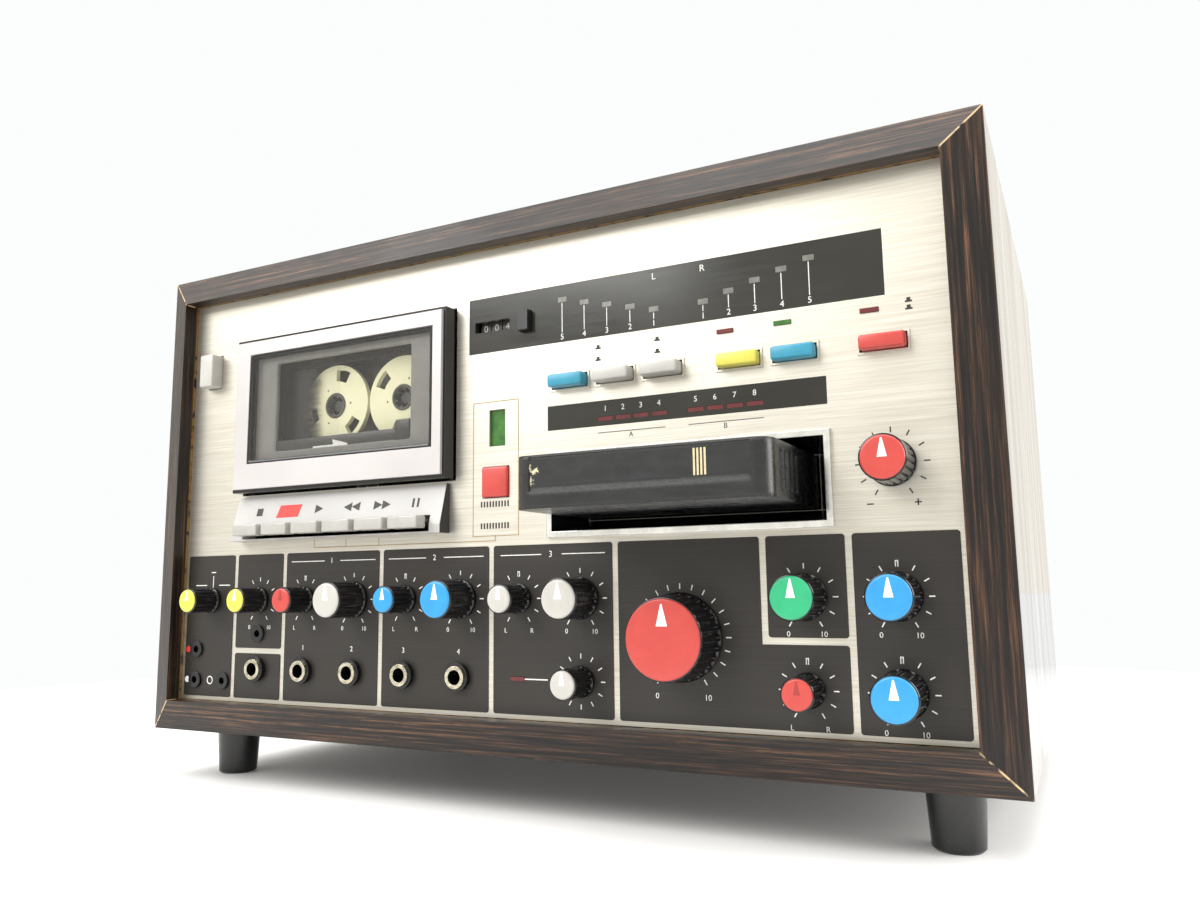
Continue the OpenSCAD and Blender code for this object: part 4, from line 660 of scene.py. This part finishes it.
def knob(name, x, z, size, colour):
    """A ribbed black skirt that narrows to the front, a coloured cap with a round rim, and a pointer on it."""
    cap, skirt, reach, ribs = size
    low = PLATE + 0.3
    foot, waist = np.array([skirt - 0.45, low + 2.3]), np.array([cap + 0.55, reach - 1.1])
    profile = [(cap - 1.5, low), (skirt - 0.3, low), (skirt, low + 0.3), (skirt, low + 1.7),
               (skirt - 0.4, low + 2.1), *(foot + (waist - foot) * t for t in (0.0, 0.95, 1.0)),
               (cap + 0.3, reach - 0.75), (cap - 0.2, reach - 0.6)]
    ribbed = turned(x, z, profile, 12 * ribs, ribs=ribs, rib_depth=0.6 if size is MASTER else 0.4,
                    rib_from=low + 2.2, rib_to=reach - 1.2)
    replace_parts(piece(name + "_skirt", ribbed, black_abs, name, 35), name)
    rounded = [(cap - 0.9 + 0.9 * math.sin(a), reach - 0.9 + 0.9 * math.cos(a))
               for a in np.linspace(math.pi / 2, 0, 6)]
    face = [(0.15, reach - 1.1), (cap, reach - 1.1), *rounded, (cap * 0.6, reach), (0.15, reach)]
    piece(name + "_cap", turned(x, z, face, 72), caps[colour], name, 40)
    half = {SMALL: 1.25, LARGE: 1.7, MASTER: 2.3}[size]
    base = z + (cap * 0.32 if size is MASTER else 0.0)
    tip = z + cap * 0.86
    arrow = [(x - half, base), (x + half, base), (x + 0.25, tip), (x - 0.25, tip)]
    fill = bare_mark if name in ("balance_knob", "pan_1_knob") else pure_white
    piece(name + "_pointer", prism(arrow, reach - 0.2, reach + 0.06), fill, name)


for name, place in knobs.items():
    knob(name, *place)


# ---------------------------------------------------------------- buttons and keys

ROW_Z, BAR_W, BAR_H = 158.1, 16.8, 5.5  # the row of push buttons
buttons = [(name, x, ROW_Z, BAR_W, BAR_H, reach, colour) for name, x, reach, colour in (
    ("audition_button", 38.6, 5.8, "cyan"), ("tape_button", 60.3, 6.5, "white"),
    ("track_button", 82.1, 6.5, "white"), ("cue_button", 114.8, 4.6, "amber"),
    ("start_button", 137.1, 5.0, "cyan"), ("power_button", 170.3, 4.8, "red"))]
buttons += [("select_button", 0.6, 116.7, 13.4, 13.4, 1.6, "red"),
            ("source_button", -179.4, 186.7, 9.4, 17.4, 6.9, "white")]
for name, x, z, w, h, reach, colour in buttons:
    shape = panel_block(x, z, w, h, -4.0, reach, 0.9 if w < BAR_W else 1.1, 4)
    slot = "yellow_plastic" if colour == "amber" else colour + "_plastic"
    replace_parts(piece(name + "_cap", shape, caps[colour], name, 60), name)

KEY_X, KEY_PITCH, KEY_W = -137.75, 19.6, 16.5  # middle of the first key
for i, action in enumerate(("stop", "record", "play", "rewind", "forward", "pause")):
    name = action + "_key"
    x = KEY_X + KEY_PITCH * i
    shape = joined([panel_block(x, 100.0, KEY_W, 5.6, 8.0, 15.0, 0.8, 4),
                    panel_block(x, 101.6, 8.0, 2.0, -41.5, 8.4, 0.3, 2)])
    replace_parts(piece(name + "_cap", shape, caps["key_white"], name, 60), name)


# ---------------------------------------------------------------- cassette deck

DOOR_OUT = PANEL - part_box("cassette_door")[0].y / MM
WINDOW_X, WINDOW_Z, WINDOW_W, WINDOW_H = -86.25, 162.0, 115.8, 56.5
VIEW_X, VIEW_Z, VIEW_W, VIEW_H = -86.5, 162.2, 85.0, 45.4  # the mask's opening

# a thin black bead in the window's edge, and the grey mask behind the sheet with the view on the reels
bead = rim(WINDOW_X, WINDOW_Z, WINDOW_W - 2.4, WINDOW_H - 2.4, 1.0,
           [(0.9, DOOR_OUT - 1.4), (0.9, DOOR_OUT - 0.05), (0.2, DOOR_OUT), (-0.6, DOOR_OUT - 0.5),
            (-0.6, DOOR_OUT - 1.4)])
piece("window_bead", bead, black_abs, "cassette_door", 40)
mask = rim(VIEW_X, VIEW_Z, VIEW_W, VIEW_H, 1.2,
           [(0.0, DOOR_OUT - 6.0), (0.0, DOOR_OUT - 4.6), (0.6, DOOR_OUT - 4.0), (14.0, DOOR_OUT - 4.0),
            (14.0, DOOR_OUT - 6.0)])
piece("window_mask", mask, mask_abs, "cassette_door", 40)

REEL_Z, REEL_PITCH, CASSETTE_X = 161.7, 42.5, -77.2
REEL_BACK, REEL_FRONT = -7.5, -4.9  # reach of the two faces of a reel's disc
RADII = np.array([6.4, 12.4, 18.2, 20.6])  # a reel's bore, the start and end of its windows, and its rim


def reel_disc(x, first, count=96):
    """A flat disc on a grid of four radii: the cells of three windows, 30 degrees wide, are left out."""
    angle = np.linspace(0, 2 * math.pi, count, endpoint=False)
    ring, turn = (grid.ravel() for grid in np.meshgrid(RADII, angle, indexing="ij"))
    flat = np.stack([x + ring * np.cos(turn), REEL_Z + ring * np.sin(turn)], axis=1)
    n = len(flat)
    points, _ = prism(flat, REEL_BACK, REEL_FRONT)
    kept = np.ones((5, count), bool)
    kept[0] = kept[4] = False
    kept[2] = np.abs((np.degrees(angle) + 180 / count - first + 60) % 120 - 60) > 15
    faces = []
    for i, j in zip(*np.nonzero(kept)):
        a, b = (i - 1) * count + j, (i - 1) * count + (j + 1) % count
        c, d = b + count, a + count
        faces += [(a, b, c, d), (a + n, d + n, c + n, b + n)]
        for p, q, beside in ((a, b, kept[i - 1, j]), (c, d, kept[i + 1, j]),
                             (d, a, kept[i, j - 1]), (b, c, kept[i, (j + 1) % count])):
            if not beside:
                faces.append((p, q, q + n, p + n))
    return points, faces


def reel(name, x, first):
    """A reel: its disc with windows, three small marks, a grey hub ring and six teeth; first turns the windows."""
    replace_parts(piece(name + "_disc", reel_disc(x, first), reel_cream, name, 30), name)
    marks = []
    for k in range(3):
        a = math.radians(first + 48 + 120 * k)
        spot = [(0.5, REEL_FRONT), (0.5, REEL_FRONT + INK)]
        marks.append(turned(x + 9.6 * math.cos(a), REEL_Z + 9.6 * math.sin(a), spot, 16))
    piece(name + "_marks", joined(marks), dark_ink, name)
    hub = [(6.4, REEL_BACK), (6.4, REEL_FRONT + 0.4), (6.1, REEL_FRONT + 0.7), (5.2, REEL_FRONT + 0.7),
           (4.9, REEL_FRONT + 0.3), (4.9, REEL_BACK - 1.5), (6.0, REEL_BACK - 1.5)]
    piece(name + "_hub", turned(x, REEL_Z, hub, ring=True), hub_grey, name, 40)
    teeth = []
    for k in range(6):
        a = math.radians(first + 60 * k)
        spin = np.array([[math.cos(a), math.sin(a)], [-math.sin(a), math.cos(a)]])
        tooth = np.array([[3.7, -0.45], [5.1, -0.65], [5.1, 0.65], [3.7, 0.45]]) @ spin + [x, REEL_Z]
        teeth.append(prism(tooth, REEL_BACK - 1.2, REEL_FRONT))
    piece(name + "_teeth", joined(teeth), hub_grey, name)


reel("left_reel", CASSETTE_X - REEL_PITCH / 2, 75)
reel("right_reel", CASSETTE_X + REEL_PITCH / 2, 21)
# a dark sheet in front of the left reel: painted shade over its left half, not a part of the cassette
shade = prism(rectangle(-128, 140.5, -94, 182), -2.9, -2.7)
piece("painted_shade_on_left_reel", shade, reel_shade(), "cassette_door")

# the holder bar in the window, raised at its right end, with its plain half arrow
BAR_FACE = DOOR_OUT - 4.6
bar = joined([panel_block(-90.5, 141.0, 76.0, 8.0, BAR_FACE - 2.2, BAR_FACE, 0.6),
              panel_block(-48.4, 143.0, 8.4, 12.0, BAR_FACE - 2.2, BAR_FACE + 0.4, 0.6)])
piece("holder_bar", bar, bar_abs, "cassette_door", 60)
arrow = joined([prism(outline, BAR_FACE, BAR_FACE + INK) for outline in (
    rectangle(-104, 138.9, -82, 140.3), [(-91, 140.3), (-82, 140.3), (-91.5, 142.9)])])
piece("holder_arrow", arrow, white_ink, "cassette_door")


# ---------------------------------------------------------------- marks on the key housing

SLOPE_TOP, SLOPE_FOOT = (117.5, 2.2), (99.0, 7.2)  # height and reach of the edges of the sloping front


def on_housing(outline):
    """A flat outline in x and height, laid on the sloping front of the housing: reach grows as the height falls."""
    slope = (SLOPE_FOOT[1] - SLOPE_TOP[1]) / (SLOPE_TOP[0] - SLOPE_FOOT[0])
    reach = SLOPE_TOP[1] + (SLOPE_TOP[0] - np.array(outline)[:, 1]) * slope
    return prism(outline, reach - 0.05, reach + 0.08)


record = on_housing([(-126.1, 106.0), (-111.6, 106.0), (-110.2, 112.2), (-124.6, 112.2)])
piece("record_label", record, red_ink, "cabinet")
symbols = [on_housing([(x, 107.2), (x + w, 109.3), (x, 111.4)])
           for x, w in ((-101, 5), (-78, -5), (-73, -5), (-64.5, 5), (-59.5, 5))]
symbols += [on_housing(rectangle(left, low, right, high)) for left, low, right, high in (
    (-140, 107.4, -136, 111.2), (-42, 107.2, -40.8, 111.4), (-39.2, 107.2, -38, 111.4))]
piece("key_symbols", joined(symbols), dark_ink, "cabinet")


# ---------------------------------------------------------------- print on the plates, the strips and the panel

TURN = range(-150, 151, 30)  # scale marks of a knob, in degrees from its top
BARE = 0.0  # reach of the bare panel and of the strips
CHANNEL_Z, SOCKET_Z, SIGN_Z = 84.2, 42.6, 98.8  # heights of the channels' and sockets' numbers, and of the - and +
STRIP_X, LEVEL_PITCH, PROGRAM_PITCH = 89.4, 10.9, 8.2  # middle of the level strip, and steps between its lamps

white = []
for name, (x, z, size, _) in knobs.items():
    if name in ("mode_knob", "speed_knob", "master_knob"):
        continue
    inner = 10.4 if size is LARGE else 9.2
    white += ticks(x, z, inner, inner + 2.0, range(0, 360, 30) if name == "tuning_knob" else TURN)
    if name.startswith(("pan", "balance", "treble", "bass")):
        white.append(slab(x, z + inner + 1.2, 1.2, 2.4))
    if name != "tuning_knob":
        for end, side in zip("LR" if name.startswith(("pan", "balance")) else ("0", "10"), (-6.6, 6.6)):
            white.append(printed(end, x + side, z - 13.6, 2.0))
white += ticks(*knobs["master_knob"][:2], 18.6, 20.8, range(-150, 151, 15))
white += [printed("0", 76.8, 27.6, 2.2), printed("10", 98.0, 27.6, 2.2)]
white += [slab(x, z, w, h) for x, z, w, h in (
    (-174, 79.9, 3.2, 0.5), (-174, 75, 0.5, 6.0), (-182.6, 73.3, 8.0, 0.5), (-165.8, 73.3, 8.0, 0.5),
    (21.3, LOWER, 11.4, 0.5))]
for left, right in ((-119.5, -66.5), (-58.5, -5.5), (3.5, 54.5)):
    inner, outer = (left + right) / 2 - 5, (left + right) / 2 + 5
    white += [slab((a + b) / 2, CHANNEL_Z, b - a, 0.4) for a, b in ((left, inner), (outer, right))]
white += [printed(number, x, CHANNEL_Z, 2.6) for number, x in zip("123", (-93.4, -32.2, 28.6))]
white += [printed(number, x, SOCKET_Z, 2.4) for number, x in zip("1234", (-110.4, -79.9, -49.2, -18.6))]

DOT_X = -190.4
white_dot, red_dot = (turned(DOT_X, z, [(1.6, PLATE), (1.6, PLATE + INK)], 24) for z in (25.3, 40.5))
ring_profile = [(2.1, PLATE), (2.1, PLATE + INK), (1.6, PLATE + INK), (1.6, PLATE)]
white_ring = turned(-173.6, 25.3, ring_profile, 32, ring=True)

strip = []
for side in (-1, 1):
    for i in range(5):
        x = STRIP_X + side * LEVEL_PITCH * (i + 1)
        low, top = 180.2, 182.7 + 2.7 * i
        strip.append(slab(x, (low + top) / 2, 0.35, top - low, BARE))
        strip.append(printed(str(i + 1), x, 178.2, 2.5, BARE))
strip += [printed("L", 78.8, 198.2, 2.8, BARE), printed("R", 100.3, 198.2, 2.8, BARE)]
for i in range(8):
    x = (55.4 if i < 4 else 63.2) + PROGRAM_PITCH * i
    strip.append(printed(str(i + 1), x, 144.4, 2.3, BARE))

dark = ticks(*knobs["speed_knob"][:2], 11.0, 13.2, TURN, 0.5, BARE)
dark += [printed("A", 67.2, 132.5, 2.2, BARE), printed("B", 108.3, 132.5, 2.2, BARE)]
dark += [slab(x, SIGN_Z, w, h, BARE) for x, w, h in ((162.5, 2.4, 0.5), (179.2, 2.4, 0.5), (179.2, 0.5, 2.4))]
for x, z in ((52.4, 170.8), (52.3, 165.7), (79.8, 170.8), (79.8, 165.7), (180, 172.3), (180, 169.5)):
    dark += [slab(x, z, 2.6, 0.7, BARE), slab(x, z + 0.9, 1.4, 1.1, BARE)]
dark += [slab(x, z, 0.8, 2.6, BARE) for z in (107.0, 97.4) for x in np.arange(10) * 1.55 - 6.9]
grey = [slab((left + right) / 2, 134.3, right - left, 0.4, BARE) for left, right in ((51.8, 82.7), (92.7, 124.0))]
tan = ring_line(-11.4, 93.0, 12.4, 153.0, 0.4, BARE)
tan += [slab(0.5, 91.9, 0.4, 2.2, BARE), slab(-52.5, 90.8, 106.0, 0.4, BARE)]
tan += [slab(x, 92.6, 0.4, 3.6, BARE) for x in (-105.4, -85.1, -64.9)]
for name, shape, paint, slot in (
        ("plate_print", joined(white), white_ink, "white"), ("white_dot", white_dot, white_ink, "white"),
        ("red_dot", red_dot, red_ink, "red"), ("white_ring", white_ring, white_ink, "white"),
        ("strip_print", joined(strip), white_ink, "white"), ("panel_print", joined(dark), dark_ink, "black"),
        ("grey_lines", joined(grey), grey_ink, "black"), ("tan_lines", joined(tan), tan_ink, "black")):
    piece(name, shape, paint, "cabinet")

# ten figures round each of the counter's three drums
COUNTER_X, COUNTER_Z, DRUM_REACH, DRUM_RADIUS, DRUM_PITCH = -1.5, 188.1, -11.3, 7.5, 5.9
figures = []
for drum, shown in ((-1, 0), (0, 0), (1, 4)):
    for k in range(10):
        points, faces = letters(str((shown + k) % 10), 3.2)
        a = math.radians(36 * k)
        radius = DRUM_RADIUS + points[:, 2]
        reach = DRUM_REACH + radius * math.cos(a) - points[:, 1] * math.sin(a)
        height = COUNTER_Z + radius * math.sin(a) + points[:, 1] * math.cos(a)
        x = COUNTER_X + drum * DRUM_PITCH + points[:, 0]
        figures.append((on_panel(np.column_stack([x, height, reach])), faces))
piece("counter_figures", joined(figures), white_ink, "counter_drums")

# the cartridge's bare label with four cream stripes
LABEL_FACE = 43.58  # reach of the label, which lies in a recess of the cartridge's end
label = prism(rectangle(41.5, 108.2, 134.8, 118.2), LABEL_FACE - 0.18, LABEL_FACE)
piece("cartridge_label", label, worn_label(), "cartridge")
stripes = [prism(rectangle(x, 108.4, x + 0.75, 118.0), LABEL_FACE, LABEL_FACE + 0.04)
           for x in (111.3, 112.65, 114.0, 115.35)]
piece("cartridge_stripes", joined(stripes), cream_ink, "cartridge")


# ---------------------------------------------------------------- studio

GLARE = 1.15  # brightness of the surround as glossy faces see it
SURROUND = tint("#fcfdfd")


def studio():
    """A pale floor, a pale surround and three soft lamps."""
    floor_mesh = bpy.data.meshes.new("floor")
    floor_mesh.from_pydata([(-6, -6, 0), (6, -6, 0), (6, 6, 0), (-6, 6, 0)], [], [(0, 1, 2, 3)])
    paper, tree, place = finish("paper_floor_pale", Roughness=0.55, Specular_IOR_Level=0.3)
    add(tree, "ValToRGB", {0: speckle(tree, place, 1.5, 2.0)}, "Base Color", [(0.3, "#f4f2ee"), (0.7, "#f8f6f2")])
    # the paper fades into the white surround between 0.3 m and 0.75 m from the object
    far = add(tree, "VectorMath", {0: place}, operation="LENGTH")
    faded = add(tree, "MapRange", {0: far, 1: 0.3, 2: 0.75, 3: 0.04, 4: 1.0})
    mirrored = add(tree, "LightPath").outputs["Is Glossy Ray"]
    level = add(tree, "MapRange", {0: mirrored, 1: 0.0, 2: 1.0, 3: 1.0, 4: GLARE})
    white_out = add(tree, "Emission", {0: SURROUND, 1: level})
    mixed = add(tree, "MixShader", {0: faded, 1: tree.nodes["Principled BSDF"], 2: white_out})
    tree.links.new(mixed.outputs[0], tree.nodes["Material Output"].inputs["Surface"])
    floor_mesh.materials.append(paper)
    floor = bpy.data.objects.new("floor", floor_mesh)
    bpy.context.scene.collection.objects.link(floor)

    world = bpy.data.worlds.new("surround")
    bpy.context.scene.world = world
    world.use_nodes = True
    tree = world.node_tree
    tree.nodes.clear()
    ray = add(tree, "LightPath").outputs
    seen, light, glare = (add(tree, "Background", {0: colour, 1: strength}) for colour, strength in (
        (SURROUND, 1.0), (tint("#f3f5f6"), 0.95), (tint("#fcf8ee"), GLARE)))
    lit = add(tree, "MixShader", {0: ray["Is Glossy Ray"], 1: light, 2: glare})
    mix = add(tree, "MixShader", {0: ray["Is Camera Ray"], 1: lit, 2: seen})
    add(tree, "OutputWorld", {0: mix})

    for name, place, target, size, power in (
            ("lamp_left", (-1.1, -1.5, 1.5), (0, 0, 0.1), 1.4, 46),
            ("lamp_right", (1.7, 0.35, 0.9), (0.2, 0, 0.15), 1.5, 48),
            ("lamp_top", (0.1, -0.3, 1.9), (0, 0, 0), 1.6, 30)):
        data = bpy.data.lights.new(name, "AREA")
        data.size = size
        data.energy = power
        lamp = bpy.data.objects.new(name, data)
        away = np.array(place) - np.array(target)
        away /= np.linalg.norm(away)
        side = np.cross((0, 0, 1) if abs(away[2]) < 0.99 else (0, 1, 0), away)
        side /= np.linalg.norm(side)
        lamp.matrix_world = turned_to(side, np.cross(away, side), away, place)
        bpy.context.scene.collection.objects.link(lamp)


def turned_to(right, up, back, place):
    """The matrix of an object that looks away from back, from its three axes and its place."""
    return Matrix([[right[i], up[i], back[i], place[i]] for i in range(3)] + [[0, 0, 0, 1]])


def camera():
    """The photograph's view: place, azimuth, elevation and a slight roll, all from its vanishing lines."""
    eye = (0.23094, -0.46751, 0.09634)  # in metres
    turn, rise, roll = map(math.radians, (27.1295, 8.1086, -0.7453))
    ahead = np.array([-math.sin(turn) * math.cos(rise), math.cos(turn) * math.cos(rise), math.sin(rise)])
    level = np.array([math.cos(turn), math.sin(turn), 0.0])
    upward = np.cross(level, ahead)
    right = math.cos(roll) * level + math.sin(roll) * upward
    up = -math.sin(roll) * level + math.cos(roll) * upward
    data = bpy.data.cameras.new("camera")
    data.sensor_width = 36.0
    data.lens = 28.243
    data.clip_start = 0.01
    view = bpy.data.objects.new("camera", data)
    view.matrix_world = turned_to(right, up, -ahead, eye)
    bpy.context.scene.collection.objects.link(view)
    bpy.context.scene.camera = view


studio()
camera()
bpy.context.scene.view_settings.view_transform = "Standard"
